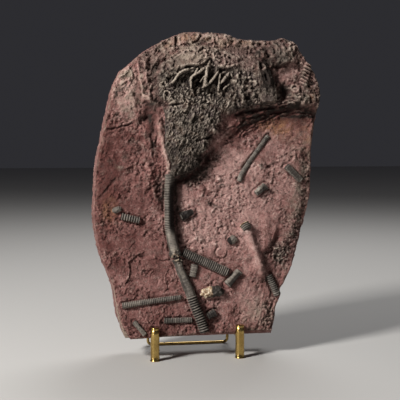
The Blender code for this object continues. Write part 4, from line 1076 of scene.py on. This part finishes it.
# Fossil grey laid over the red: 1 on the crown, less beside it.
GREYS = [
    (-50.5, 169.5, 3, 4, 15, 0.9), (-45, 157, 6, 8, 0.35), (-51, 114.5, 3.5, 2.2, 10, 0.7),
    (58, 55, 5, 6, 30, 0.6), (46.5, 115.5, 2.2, 2, 0.7), (72, 92, 6, 38, -14, 0.35), (62, 192, 9, 8, 0.5),
    (-45.5, 179, 4, 3, 40, 0.5), (62, 166, 4, 5, 0.5), (77, 162, 9, 8, 0.3), (64.5, 180, 8, 3.6, 30, -0.9),
    (-45, 168, 9, 20, -0.5), (-44, 152, 9, 10, 0.3), (-36, 128, 8, 10, 0.2),
]
BEIGES = [
    (-4, 192, 12, 8, 15, 1), (-18, 197, 9, 4, 35, 0.6), (14, 199, 14, 6, 0.6), (34, 199, 12, 3, 0.5),
    (-24, 178, 7, 10, 0.3), (34, 164, 2.4, 8, 0.5), (42, 164, 4, 4, 0.35), (53, 163, 6, 4, 0.3),
    (24.2, 157, 1.6, 3.2, -25, 0.7), (9.8, 178, 2, 8, 12, 0.4), (-16, 160, 4, 2.5, 0.4),
    (74, 160, 6, 6, 0.4), (77, 179, 3, 7, 20, 0.5), (67, 195, 3, 6, -15, 0.4), (-46, 178, 5, 3, 45, 0.6),
    (-46, 157, 7, 9, 0.4), (-37, 170, 4, 16, 0.35), (75, 100, 6, 30, -12, 0.5), (42, 15, 10, 12, 0.5),
    (-46, 168, 8, 12, 0.3), (72, 128, 8, 12, 0.25),
]
ROSES = [
    (30, 190, 11, 8, -10, 1), (37, 165, 9, 10, 0.6), (46, 182, 3, 8, 0.4), (14, 138, 6, 9, -30, 0.5),
    (16, 188, 8, 7, 0.7), (-29, 182, 3, 10, 0.5), (-30, 192, 8, 5, 40, 0.7), (-24, 166, 6, 8, 0.25),
    (66, 180, 9, 5, 30, 1), (76, 162, 8, 8, 0.5), (57, 193, 8, 6, 0.4),
]
# Pale lines, painted shade lines, orange spots and painted shade spots; the pale line along the lip left of
# the crown is painted highlight where the lip faces the light.
VEINS = [
    (1.1, 0.9, (-45, 184.5), (-42.5, 180), (-42, 176)), (0.9, 0.8, (-53, 175.5), (-48, 177.5), (-44, 179)),
    (0.7, 1, (-51, 170.6), (-46.5, 172.8), (-43.4, 174.6)),
    (1.2, 0.9, (-50, 176), (-46, 177), (-42, 181.5)), (1, 0.8, (-42, 176), (-43.6, 179.5)),
    (1.1, 0.6, (-37, 184), (-36, 176), (-34.6, 168), (-33, 160)), (1.2, 0.5, (-31, 182), (-32, 174)),
    (0.7, 0.6, (-39, 158), (-36.5, 162)),
    (1.2, 0.5, (-24.5, 147), (-23.5, 140), (-22, 134), (-21, 128), (-19.8, 122), (-18, 117), (-18, 110),
     (-19, 104)), (0.9, 0.6, (-18.6, 144), (-16, 152)), (0.8, 0.6, (60, 150.7), (70, 153.3), (76, 152.7)),
    (0.7, 0.8, (66.7, 200.4), (65.7, 193.3)), (0.7, 0.8, (70.6, 198.4), (67.3, 191.3), (66.7, 188.7)),
    (1.2, 0.8, (34, 75.8), (36.5, 75)),
]
SHADES = [
    (3.2, 1.1, (-16, 104.6), (-8, 107), (0, 110), (6, 116), (11, 123)), (2, 0.7, (9, 121), (14, 128)),
    (1.2, 1.2, (27, 149.5), (34, 152), (42, 153.4), (58, 155.6)),
    (0.8, 0.9, (32, 146.5), (44, 150), (56, 152.8), (72, 154)),
    (0.7, 0.8, (28, 141.5), (40, 146.5), (54, 150.5)), (0.8, 0.7, (62, 157), (72, 156), (84, 155)),
    (1, 0.7, (58, 155.6), (72, 152.5), (88, 151.6)),
    (1.5, 0.75, (-12.6, 105), (-12.9, 88), (-12.4, 72), (-10, 62)), (1.2, 0.5, (-21.6, 104), (-22.3, 88)),
    (2.4, 0.6, (-31, 158), (-32, 150), (-36, 145)),
    (1.5, 0.6, (-30, 152), (-29.5, 139), (-28.5, 130), (-28, 121)),
    (0.7, 0.7, (-53.5, 163.5), (-49, 167.5), (-44.5, 172.5)),
    (0.6, 0.5, (-52, 172.5), (-47, 175), (-43, 176.5)),
    (0.9, 0.5, (-52.8, 109), (-59.3, 100.8), (-65.5, 93.5)),
    (0.8, 0.6, (-60, 140.6), (-52.7, 141.6), (-45.6, 143.4), (-40.6, 145)),
    (3, 0.5, (-24, 106), (-24, 98), (-23, 92)), (1, 0.3, (36, 146), (50, 151), (66, 156), (84, 153)),
    (2.4, 0.5, (45, 187), (50, 176), (53, 168)), (1.2, 0.6, (40, 197), (46, 190), (50, 183)),
    (2.4, 0.25, (18, 136), (28, 145), (42, 149.5), (56, 153), (72, 155)),
    (0.6, 0.7, (38, 143.5), (50, 148.5), (62, 152)), (0.7, 0.7, (60, 149), (72, 150), (86, 149.5)),
    (1.2, 0.25, (49, 42), (46.5, 50), (43, 59), (39.8, 68)), (0.6, 0.3, (31.8, 71), (34.6, 61), (38, 50)),
    (1, 0.8, (9, 91), (12, 89), (15, 88.5)), (0.9, 0.7, (15, 101), (18.5, 101.4), (20.6, 103)),
    (1, 0.7, (50, 114.5), (53, 116), (56.5, 119.5)),
    (1.2, 0.6, (47, 43), (48.6, 36), (51.4, 29), (53.5, 25)),
]
STAINS = [
    (-58, 86, 4, 7, 0.8), (58, 142, 12, 5.5, -12, 1), (-3, 203, 7, 3, 10, 0.65), (9, 202, 1.4, 1.4, 0.8),
    (20, 198, 6, 3, 0.3), (-16, 198, 5, 2, 30, 0.5), (82, 162, 3, 5, 0.5), (34, 199, 6, 1.6, 0.5),
    (80, 135, 4, 10, 0.35),
]
PAINTED_SHADE_SPOTS = [
    (2, 172, 13, 7, 15, 0.5), (22, 170, 6, 9, 0.38), (0, 115, 8, 6, 40, 0.3), (49.5, 176, 4.5, 14, 6, 0.9),
    (62, 166.5, 4, 5, 0.6), (59, 183, 5, 3, 15, 0.6), (46, 153.5, 20, 2, 6, 0.4), (80, 178, 4, 6, 20, 0.3),
    (-4, 120, 10, 14, -30, 0.35), (2, 134, 8, 9, 0.2), (52, 174, 5, 8, 0.35), (34, 163, 10, 8, 0.5),
    (-25, 178, 7, 20, 0.45), (14, 120, 10, 3, 50, 0.5), (-28, 150, 3.5, 8, 0.3), (75, 151, 14, 2.6, 0.45),
    (57, 193, 10, 7, 0.35), (30, 128, 15, 8, 40, 0.18), (44, 147, 16, 3, 14, 0.2),
    (30, 154.5, 8, 1.6, 8, 0.5), (80, 160, 7, 8, 0.3), (44, 40, 4, 12, -20, 0.15),
]


def stone_marks(u, v, height, cell, fossil):
    """What the stone's finish reads at each point of a face: its height less the height blurred, fine and
    broad, which the finish turns into painted shade and painted highlight, the red rock's tone, and how
    much fossil grey, beige, rose, orange and dark lie over it, the dark being mostly painted shade."""
    cloud = rough(u, v, 5, 4, 91, keep=0.7)
    bent = wander(u, v, 4.0, 1.4, 95)
    broken = share_in(u, v, BROKEN) * (1 - fossil)
    blotch = rough(u, v, 2.4, 3, 99, keep=0.8)
    shelf, bed = strata(u, v)
    # Darker blotches on the fossil, the upper rock and broken places, and painted shade in the notches of
    # the ledge's beds; with the painted shade spots and lines they make the dark mark.
    blotches_and_painted_shade = 0.5 * np.maximum(fossil, 0.6 * upper_share(u, v)) * smoothly(rough(u, v, 10, 3, 97), -0.1, 0.8)
    blotches_and_painted_shade += broken * smoothly(blotch, 0.05, 0.45)
    blotches_and_painted_shade += (1 - fossil) * shelf * smoothly(np.abs(bed - 0.5), 0.26, 0.46)
    grey = 0.5 * upper_share(u, v) + patches(u, v, GREYS) + 0.8 * broken * smoothly(-blotch, -0.1, 0.3)
    shade = (patches(u, v, PAINTED_SHADE_SPOTS) + strokes(*bent, SHADES, taper=0.04)) * (1 + 0.8 * cloud) + blotches_and_painted_shade
    marks = {
        "grey": np.maximum(fossil, grey) + 0.35 * cloud * (1 - fossil),
        "beige": (patches(u, v, BEIGES) + strokes(*bent, VEINS)) * (0.85 + 0.8 * cloud),
        "rose": patches(u, v, ROSES) * (0.85 - 0.7 * cloud),
        "stain_and_painted_shading": patches(u, v, STAINS) * (0.7 + 0.9 * rough(u, v, 4, 3, 93)),
        "dark": shade,
    }
    return {
        "fine": np.clip((height - blurred(height, 1.1 / cell)) / 0.36, -1.6, 1.6),
        "broad": np.clip((height - blurred(height, 4.0 / cell)) / 1.3, -1.5, 1.5),
        "tone": np.clip(0.35 + patches(u, v, TONES) + 0.2 * rough(u, v, 16, 3, 83), -0.2, 1.2),
        **{label: np.clip(amount, 0, 1) for label, amount in marks.items()},
    }


# ---- the brass stand
POST_RADIUS, POST_HEIGHT = 3.0, 22.8
WIRE_RADIUS, WIRE_AROUND = 1.0, 24
WIRE_ROUNDING, WIRE_WIDTHS = np.array([0, 0.05, 0.2]), [0.75, 0.92, 0.99]
HOOP_FOOT_Y, HOOP_TOP_Z, HOOP_CORNER = 45.0, 75.0, 3.0  # behind the posts' line, and above the table


def stand_place(points):
    """Millimetres from the middle of the posts' line on the table, set where the stand is, in metres."""
    return (np.asarray(points, float) + (STAND_X, STAND_Y, 0)) * MM


def brass_rod(node, path, up, radii, around, look):
    """A round rod along a path, closed at both ends by a point."""
    points = sweep(path, up, np.tile(np.reshape(radii, (-1, 1)), around))
    points = np.vstack([points.reshape(-1, 3), path[[0, -1]]])
    solid(node + "_brass", stand_place(points), tube_faces(len(path), around), look, node)


def make_posts(look):
    """Two turned posts: a small foot, a plain shaft, a turned groove under the top, and a chamfer."""
    radii, z = np.transpose([
        (2.9, 0), (3.25, 0.05), (3.3, 0.2), (3.3, 0.45), (3.1, 0.7), (POST_RADIUS, 0.85), (POST_RADIUS, 4),
        (POST_RADIUS, 10), (POST_RADIUS, 18), (POST_RADIUS, 21), (2.86, 21.12), (2.86, 21.42),
        (POST_RADIUS, 21.55), (POST_RADIUS, 22.1), (2.93, 22.3), (2.55, POST_HEIGHT - 0.06),
        (2.3, POST_HEIGHT),
    ])
    for node, middle in (("left_post", LEFT_POST), ("right_post", RIGHT_POST)):
        path = np.column_stack([0 * z + middle.x - STAND_X, 0 * z, z])
        brass_rod(node, path, (1, 0, 0), radii, 64, look)


def make_arms(look):
    """Two straight wires from the posts back to the hoop, under the slab, with rounded ends."""
    for node in ("left_arm", "right_arm"):
        low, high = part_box(node)
        start, end = low.y / MM - STAND_Y, high.y / MM - STAND_Y
        y = np.concatenate([start + WIRE_ROUNDING, np.linspace(start + 0.5, end - 0.5, 12),
                            end - WIRE_ROUNDING[::-1]])
        radii = WIRE_RADIUS * np.concatenate([WIRE_WIDTHS, np.ones(12), WIRE_WIDTHS[::-1]])
        path = np.column_stack([0 * y + middle_of(node).x - STAND_X, y, 0 * y + ARM_TOP - WIRE_RADIUS])
        brass_rod(node, path, (0, 0, 1), radii, WIRE_AROUND, look)


def make_hoop(look):
    """The frame behind the slab: a wire bent round four corners and closed, leaning forward on its foot."""
    half = (RIGHT_POST.x - LEFT_POST.x) / 2
    back_v = (HOOP_TOP_Z - SLAB_FOOT_Z + SLAB_THICK * math.sin(LEAN)) / math.cos(LEAN)
    back_y = SLAB_FOOT_Y + back_v * math.sin(LEAN) + SLAB_THICK * math.cos(LEAN)
    foot = np.array([0, HOOP_FOOT_Y, WIRE_RADIUS])
    climb = np.array([0, back_y + WIRE_RADIUS * 1.1 + GAP, HOOP_TOP_Z]) - foot
    height = np.linalg.norm(climb)
    climb /= height
    corners = []
    for x, rise, start in ((-half, 0, 180), (half, 0, 270), (half, height, 0), (-half, height, 90)):
        a = np.radians(np.linspace(0, 90, 13)) + math.radians(start)
        middle = np.array([x - math.copysign(HOOP_CORNER, x), abs(rise - HOOP_CORNER)])
        corners.append(middle + HOOP_CORNER * np.column_stack([np.cos(a), np.sin(a)]))
    path = smooth_spans(np.vstack([*corners, corners[0][:1]]), 1.5)
    path = foot + path[:, :1] * (1, 0, 0) + path[:, 1:] * climb
    closed = np.vstack([path[-1:], path, path[:1]])
    radii = np.full((len(closed), WIRE_AROUND), WIRE_RADIUS)
    points = sweep(closed, np.cross((1, 0, 0), climb), radii)[1:-1]
    quads = grid_quads(len(path) + 1, WIRE_AROUND, wrap=True) % (len(path) * WIRE_AROUND)
    solid("back_hoop_brass", stand_place(points.reshape(-1, 3)), [quads], look, "back_hoop")


def smooth_spans(points, step):
    """The points of a closed line with its long straight spans cut into steps, its last point left out."""
    parts = []
    for a, b in zip(points[:-1], points[1:]):
        count = max(1, round(math.dist(a, b) / step))
        parts.append(a + (b - a) * np.arange(count)[:, None] / count)
    return np.vstack(parts)


# ---- finishes
class Finish:
    """A material and short calls that lay its nodes.  Patterns read the piece's own coordinates."""

    def __init__(self, name, roughness, metallic=0.0):
        self.look = bpy.data.materials.new(name)
        self.look.use_nodes = True
        self.tree = self.look.node_tree
        self.shader = self.tree.nodes["Principled BSDF"]
        self.feed(self.shader, {"Roughness": roughness, "Metallic": metallic,
                                "Specular IOR Level": 0.5 if metallic else 0.2})
        self.where = self.lay("TexCoord", "Object", {})

    def feed(self, node, sockets):
        """Each socket gets a link where its value is another node's output, else the value itself."""
        for label, value in sockets.items():
            if isinstance(value, bpy.types.NodeSocket):
                self.tree.links.new(value, node.inputs[label])
            else:
                node.inputs[label].default_value = value

    def lay(self, kind, output, sockets, **settings):
        """A new node with its settings and sockets, and one of its outputs."""
        node = self.tree.nodes.new("ShaderNode" + kind)
        for label, value in settings.items():
            setattr(node, label, value)
        self.feed(node, sockets)
        return node.outputs[output]

    def mark(self, label):
        """A value that the mesh carries at each point."""
        return self.lay("Attribute", "Fac", {}, attribute_name=label)

    def grain(self, size_mm, detail=4.0, roughness=0.6, stretch=None):
        """Noise of a size, from about 0.2 to 0.8, drawn out along the axes where stretch is given."""
        where = self.where
        if stretch:
            where = self.lay("Mapping", "Vector", {"Vector": where, "Scale": stretch})
        return self.lay("TexNoise", "Fac", {"Vector": where, "Scale": 1 / (size_mm * MM), "Detail": detail,
                                            "Roughness": roughness})

    def sum(self, operation, a, b):
        """Two values added or multiplied, or the larger one."""
        return self.lay("Math", "Value", {0: a, 1: b}, operation=operation)

    def spread(self, value, low, high, to_low=0.0, to_high=1.0):
        """The value stretched from one range to another, and held inside it."""
        return self.lay("MapRange", "Result", {"Value": value, "From Min": low, "From Max": high,
                                               "To Min": to_low, "To Max": to_high})

    def ramp(self, value, stops):
        """A colour that runs through the stops (place, colour)."""
        colour = self.lay("ValToRGB", "Color", {"Fac": value})
        stop = colour.node.color_ramp.elements
        while len(stop) < len(stops):
            stop.new(0.5)
        for element, (spot, paint) in zip(stop, stops):
            element.position = spot
            element.color = (*paint, 1)
        return colour

    def blend(self, share, a, b):
        """Colour b laid over colour a by a share."""
        a, b = (paint if isinstance(paint, bpy.types.NodeSocket) else (*paint, 1) for paint in (a, b))
        return self.lay("Mix", 2, {"Factor": share, 6: a, 7: b}, data_type="RGBA")

    def finish(self, colour, height, distance_mm, strength=1.0):
        """The colour, and fine bumps of a height, go to the shader; what comes back is the material."""
        bumps = {"Strength": strength, "Distance": distance_mm * MM, "Height": height}
        self.feed(self.shader, {"Base Color": colour, "Normal": self.lay("Bump", "Normal", bumps)})
        return self.look


DARK_RED, BRICK, PALE_PINK = (0.105, 0.036, 0.031), (0.25, 0.112, 0.1), (0.48, 0.28, 0.25)
BLACK_GREY, FOSSIL_GREY, PALE_GREY = (0.028, 0.021, 0.017), (0.082, 0.066, 0.054), (0.21, 0.175, 0.145)
BROWN, PLUM = (0.105, 0.060, 0.040), (0.085, 0.058, 0.060)
BEIGE, ROSE, ORANGE = (0.32, 0.25, 0.195), (0.20, 0.125, 0.108), (0.32, 0.155, 0.08)
# Painted highlight colours for the crests, painted shade colours for the hollows, and a pale colour for
# painted glints.
RED_HIGHLIGHT, BRICK_HIGHLIGHT, PINK_HIGHLIGHT = (0.25, 0.10, 0.085), (0.50, 0.30, 0.26), (0.70, 0.53, 0.47)
SHADE_RED, SHADE_BLACK, PALE_HIGHLIGHT = (0.036, 0.010, 0.009), (0.012, 0.009, 0.008), (0.52, 0.44, 0.36)
PINK_GLINT, RED_GRIT = (0.56, 0.45, 0.39), (0.04, 0.02, 0.016)
STEM_BLACK, STEM_GREY, STEM_PALE = (0.03, 0.026, 0.022), (0.095, 0.08, 0.07), (0.22, 0.19, 0.16)
# The first is the painted highlight colour of the stems' ring crests.
STEM_HIGHLIGHT, PALE_GRIT, DARK_GRIT = (0.42, 0.375, 0.32), (0.5, 0.44, 0.38), (0.02, 0.016, 0.013)
RUST, TAN, CREAM = (0.15, 0.075, 0.04), (0.42, 0.29, 0.18), (0.8, 0.69, 0.53)
BRASS, TARNISH, FLOOR_GREY = (0.56, 0.39, 0.135), (0.33, 0.21, 0.065), (0.5, 0.49, 0.475)


def stone_finish(name):
    """Stone: red limestone from dark red brown to pale pink, overlaid with fossil grey, rose, beige and
    orange, with painted shade in its hollows and where it is marked dark, painted highlight on its
    crests, and pale painted glints outside the painted shade."""
    stone = Finish(name, roughness=0.84)
    grey_share, shade_and_blotch_share = stone.mark("grey"), stone.mark("dark")
    fine, broad = stone.mark("fine"), stone.mark("broad")
    mottle = stone.spread(stone.grain(4.5, 5, 0.62), 0.3, 0.7, -0.24, 0.24)
    tone = stone.sum("ADD", stone.mark("tone"), mottle)
    colour = stone.ramp(tone, [(0.0, DARK_RED), (0.45, BRICK), (1.0, PALE_PINK)])
    speckle = stone.spread(stone.grain(1.8, 4, 0.62), 0.32, 0.68)
    grey = stone.sum("ADD", speckle, stone.spread(stone.grain(9, 3), 0.36, 0.64, -0.3, 0.3))
    grey = stone.ramp(grey, [(0.0, BLACK_GREY), (0.5, FOSSIL_GREY), (1.0, PALE_GREY)])
    grey = stone.blend(stone.spread(stone.grain(6, 3), 0.5, 0.64, 0, 0.7), grey, BROWN)
    grey = stone.blend(stone.spread(stone.grain(7.5, 3), 0.48, 0.36, 0, 0.7), grey, PLUM)
    colour = stone.blend(grey_share, colour, grey)
    for label, paint in (("rose", ROSE), ("beige", BEIGE), ("stain_and_painted_shading", ORANGE)):
        colour = stone.blend(stone.mark(label), colour, paint)
    # Painted highlight: crests are lightened by their fine and broad relief.
    high = stone.sum("ADD", stone.spread(fine, 0.15, 1.4, 0, 0.6), stone.spread(broad, 0.3, 1.4, 0, 0.22))
    crest = stone.ramp(tone, [(0.0, RED_HIGHLIGHT), (0.5, BRICK_HIGHLIGHT), (1.0, PINK_HIGHLIGHT)])
    colour = stone.blend(high, colour, stone.blend(grey_share, crest, PALE_HIGHLIGHT))
    # Painted shade where the dark mark lies, together with darker blotches of the rock.
    colour = stone.blend(shade_and_blotch_share, colour, BLACK_GREY)
    # Painted shade: hollows are darkened by their fine and broad relief.
    fine, broad = stone.spread(fine, -0.1, -1.3, 0, 0.9), stone.spread(broad, -0.25, -1.3, 0, 0.85)
    low = stone.sum("MAXIMUM", fine, broad)
    colour = stone.blend(low, colour, stone.blend(grey_share, SHADE_RED, SHADE_BLACK))
    # Painted glints: pale specks, only outside the painted shade and fewer where the rock is dark.
    light = stone.spread(shade_and_blotch_share, 0, 1, 1, 0)
    light = stone.sum("MULTIPLY", stone.spread(tone, 0.0, 0.6, 0.12, 1.0), light)
    speck = stone.sum("MULTIPLY", light, stone.spread(stone.grain(1.0, 3, 0.7), 0.55, 0.7, 0, 0.6))
    colour = stone.blend(speck, colour, PINK_GLINT)
    dark_speck = stone.spread(stone.grain(1.2, 3, 0.7), 0.46, 0.31, 0, 0.85)
    colour = stone.blend(dark_speck, colour, RED_GRIT)
    return stone.finish(colour, stone.grain(0.9, 4, 0.7), 0.9)


def stem_finish():
    """Grey-brown stems with painted shade in their joints, dents and where they are marked dark, painted
    highlight on their ring crests, and cream calcite where a piece is marked.
    """
    stem = Finish("grey stem", roughness=0.55)
    fine = stem.mark("fine")
    tone = stem.sum("ADD", stem.mark("tone"), stem.spread(stem.grain(2.0, 4), 0.3, 0.7, -0.2, 0.2))
    colour = stem.ramp(tone, [(0.0, STEM_BLACK), (0.5, STEM_GREY), (1.0, STEM_PALE)])
    # Painted highlight on the ring crests, by the fine mark.
    colour = stem.blend(stem.spread(fine, 0.4, 1.0, 0, 0.7), colour, STEM_HIGHLIGHT)
    calcite = stem.ramp(stem.grain(1.6, 4, 0.7), [(0.38, RUST), (0.5, TAN), (0.62, CREAM)])
    colour = stem.blend(stem.mark("cream"), colour, calcite)
    speck = stem.spread(stem.grain(0.7, 3, 0.7), 0.56, 0.74, 0, 0.35)
    colour = stem.blend(speck, colour, PALE_GRIT)
    dark_speck = stem.spread(stem.grain(0.9, 3, 0.7), 0.43, 0.3, 0, 0.5)
    colour = stem.blend(dark_speck, colour, DARK_GRIT)
    # Painted shade: the dark mark, and the joints and dents by the fine mark.
    for share in (stem.mark("dark"), stem.spread(fine, 0.1, -1.0, 0, 0.94)):
        colour = stem.blend(share, colour, SHADE_BLACK)
    return stem.finish(colour, stem.grain(0.5, 4, 0.65), 0.2, 0.5)


def brass_finish():
    """Polished brass with a faint drawn grain and a breath of tarnish."""
    brass = Finish("brass", roughness=0.2, metallic=1.0)
    colour = brass.blend(brass.spread(brass.grain(5, 4), 0.35, 0.7), BRASS, TARNISH)
    brass.feed(brass.shader, {"Roughness": brass.spread(brass.grain(0.6, 3), 0.3, 0.7, 0.2, 0.32)})
    return brass.finish(colour, brass.grain(0.25, 2, 0.5, stretch=(1, 1, 0.08)), 0.02, 0.4)


# ---- the studio
FLOOR_HALF = 4.0  # metres
ROOM_GREY = (0.026, 0.026, 0.03)
LIGHT_AIM, STAND_AIM = (0, 0, 0.12), (-0.01, -0.02, 0.02)
CAMERA_BACK = (-105.74, -615.81, 148.9)  # millimetres
CAMERA_YAW, CAMERA_PITCH = 9.35, 3.91  # degrees to the right and down
CAMERA_LENS, SENSOR = 81.0, 36.0


def make_floor():
    """A plain pale floor."""
    mesh = bpy.data.meshes.new("floor")
    corners = [(x * FLOOR_HALF, y * FLOOR_HALF, 0) for x, y in ((-1, -1), (1, -1), (1, 1), (-1, 1))]
    mesh.from_pydata(corners, [], [(0, 1, 2, 3)])
    pale = Finish("pale floor", roughness=0.7)
    pale.feed(pale.shader, {"Base Color": (*FLOOR_GREY, 1)})
    mesh.materials.append(pale.look)
    floor = bpy.data.objects.new("floor", mesh)
    bpy.context.scene.collection.objects.link(floor)


def soft_light(name, towards, distance, size, power, aim=LIGHT_AIM, colour=(1, 1, 1)):
    """A square area light, so far from its aim in a direction, facing it."""
    lamp = bpy.data.lights.new(name, "AREA")
    lamp.size, lamp.energy, lamp.color = size, power, colour
    holder = bpy.data.objects.new(name, lamp)
    direction = Vector(towards).normalized()
    holder.location = Vector(aim) + direction * distance
    holder.rotation_euler = direction.to_track_quat("Z", "Y").to_euler()
    bpy.context.scene.collection.objects.link(holder)


def make_studio():
    """A key light from the upper left, a weak fill from the right, a low light that grazes the stand, and a
    light behind for the edges."""
    soft_light("key light", (-0.72, -0.46, 0.52), 1.1, 0.2, 17, colour=(1.0, 0.98, 0.95))
    soft_light("fill light", (0.7, -0.9, 0.35), 1.4, 0.9, 0.16)
    soft_light("low light", (-0.85, -0.55, 0.08), 0.7, 0.12, 0.5, aim=STAND_AIM)
    soft_light("edge light", (0.25, 0.55, 0.8), 1.0, 0.5, 5)
    world = bpy.data.worlds.new("studio")
    world.use_nodes = True
    world.node_tree.nodes["Background"].inputs["Color"].default_value = (*ROOM_GREY, 1)
    bpy.context.scene.world = world
    bpy.context.scene.view_settings.view_transform = "Standard"


def make_camera():
    """The camera, a little to the left of the slab and looking slightly down."""
    lens = bpy.data.cameras.new("camera")
    lens.lens, lens.sensor_width = CAMERA_LENS, SENSOR
    lens.clip_start, lens.clip_end = 0.01, 20
    camera = bpy.data.objects.new("camera", lens)
    camera.location = Vector(CAMERA_BACK) * MM
    camera.rotation_euler = (math.radians(90 - CAMERA_PITCH), 0, math.radians(-CAMERA_YAW))
    bpy.context.scene.collection.objects.link(camera)
    bpy.context.scene.camera = camera


make_camera()
make_studio()
make_floor()
stem_look, brass_look = stem_finish(), brass_finish()
make_rock(stone_finish("red limestone"))
make_crown(stone_finish("grey fossil"))
make_stem(stem_look)
make_fragments(stem_look)
make_posts(brass_look)
make_arms(brass_look)
make_hoop(brass_look)
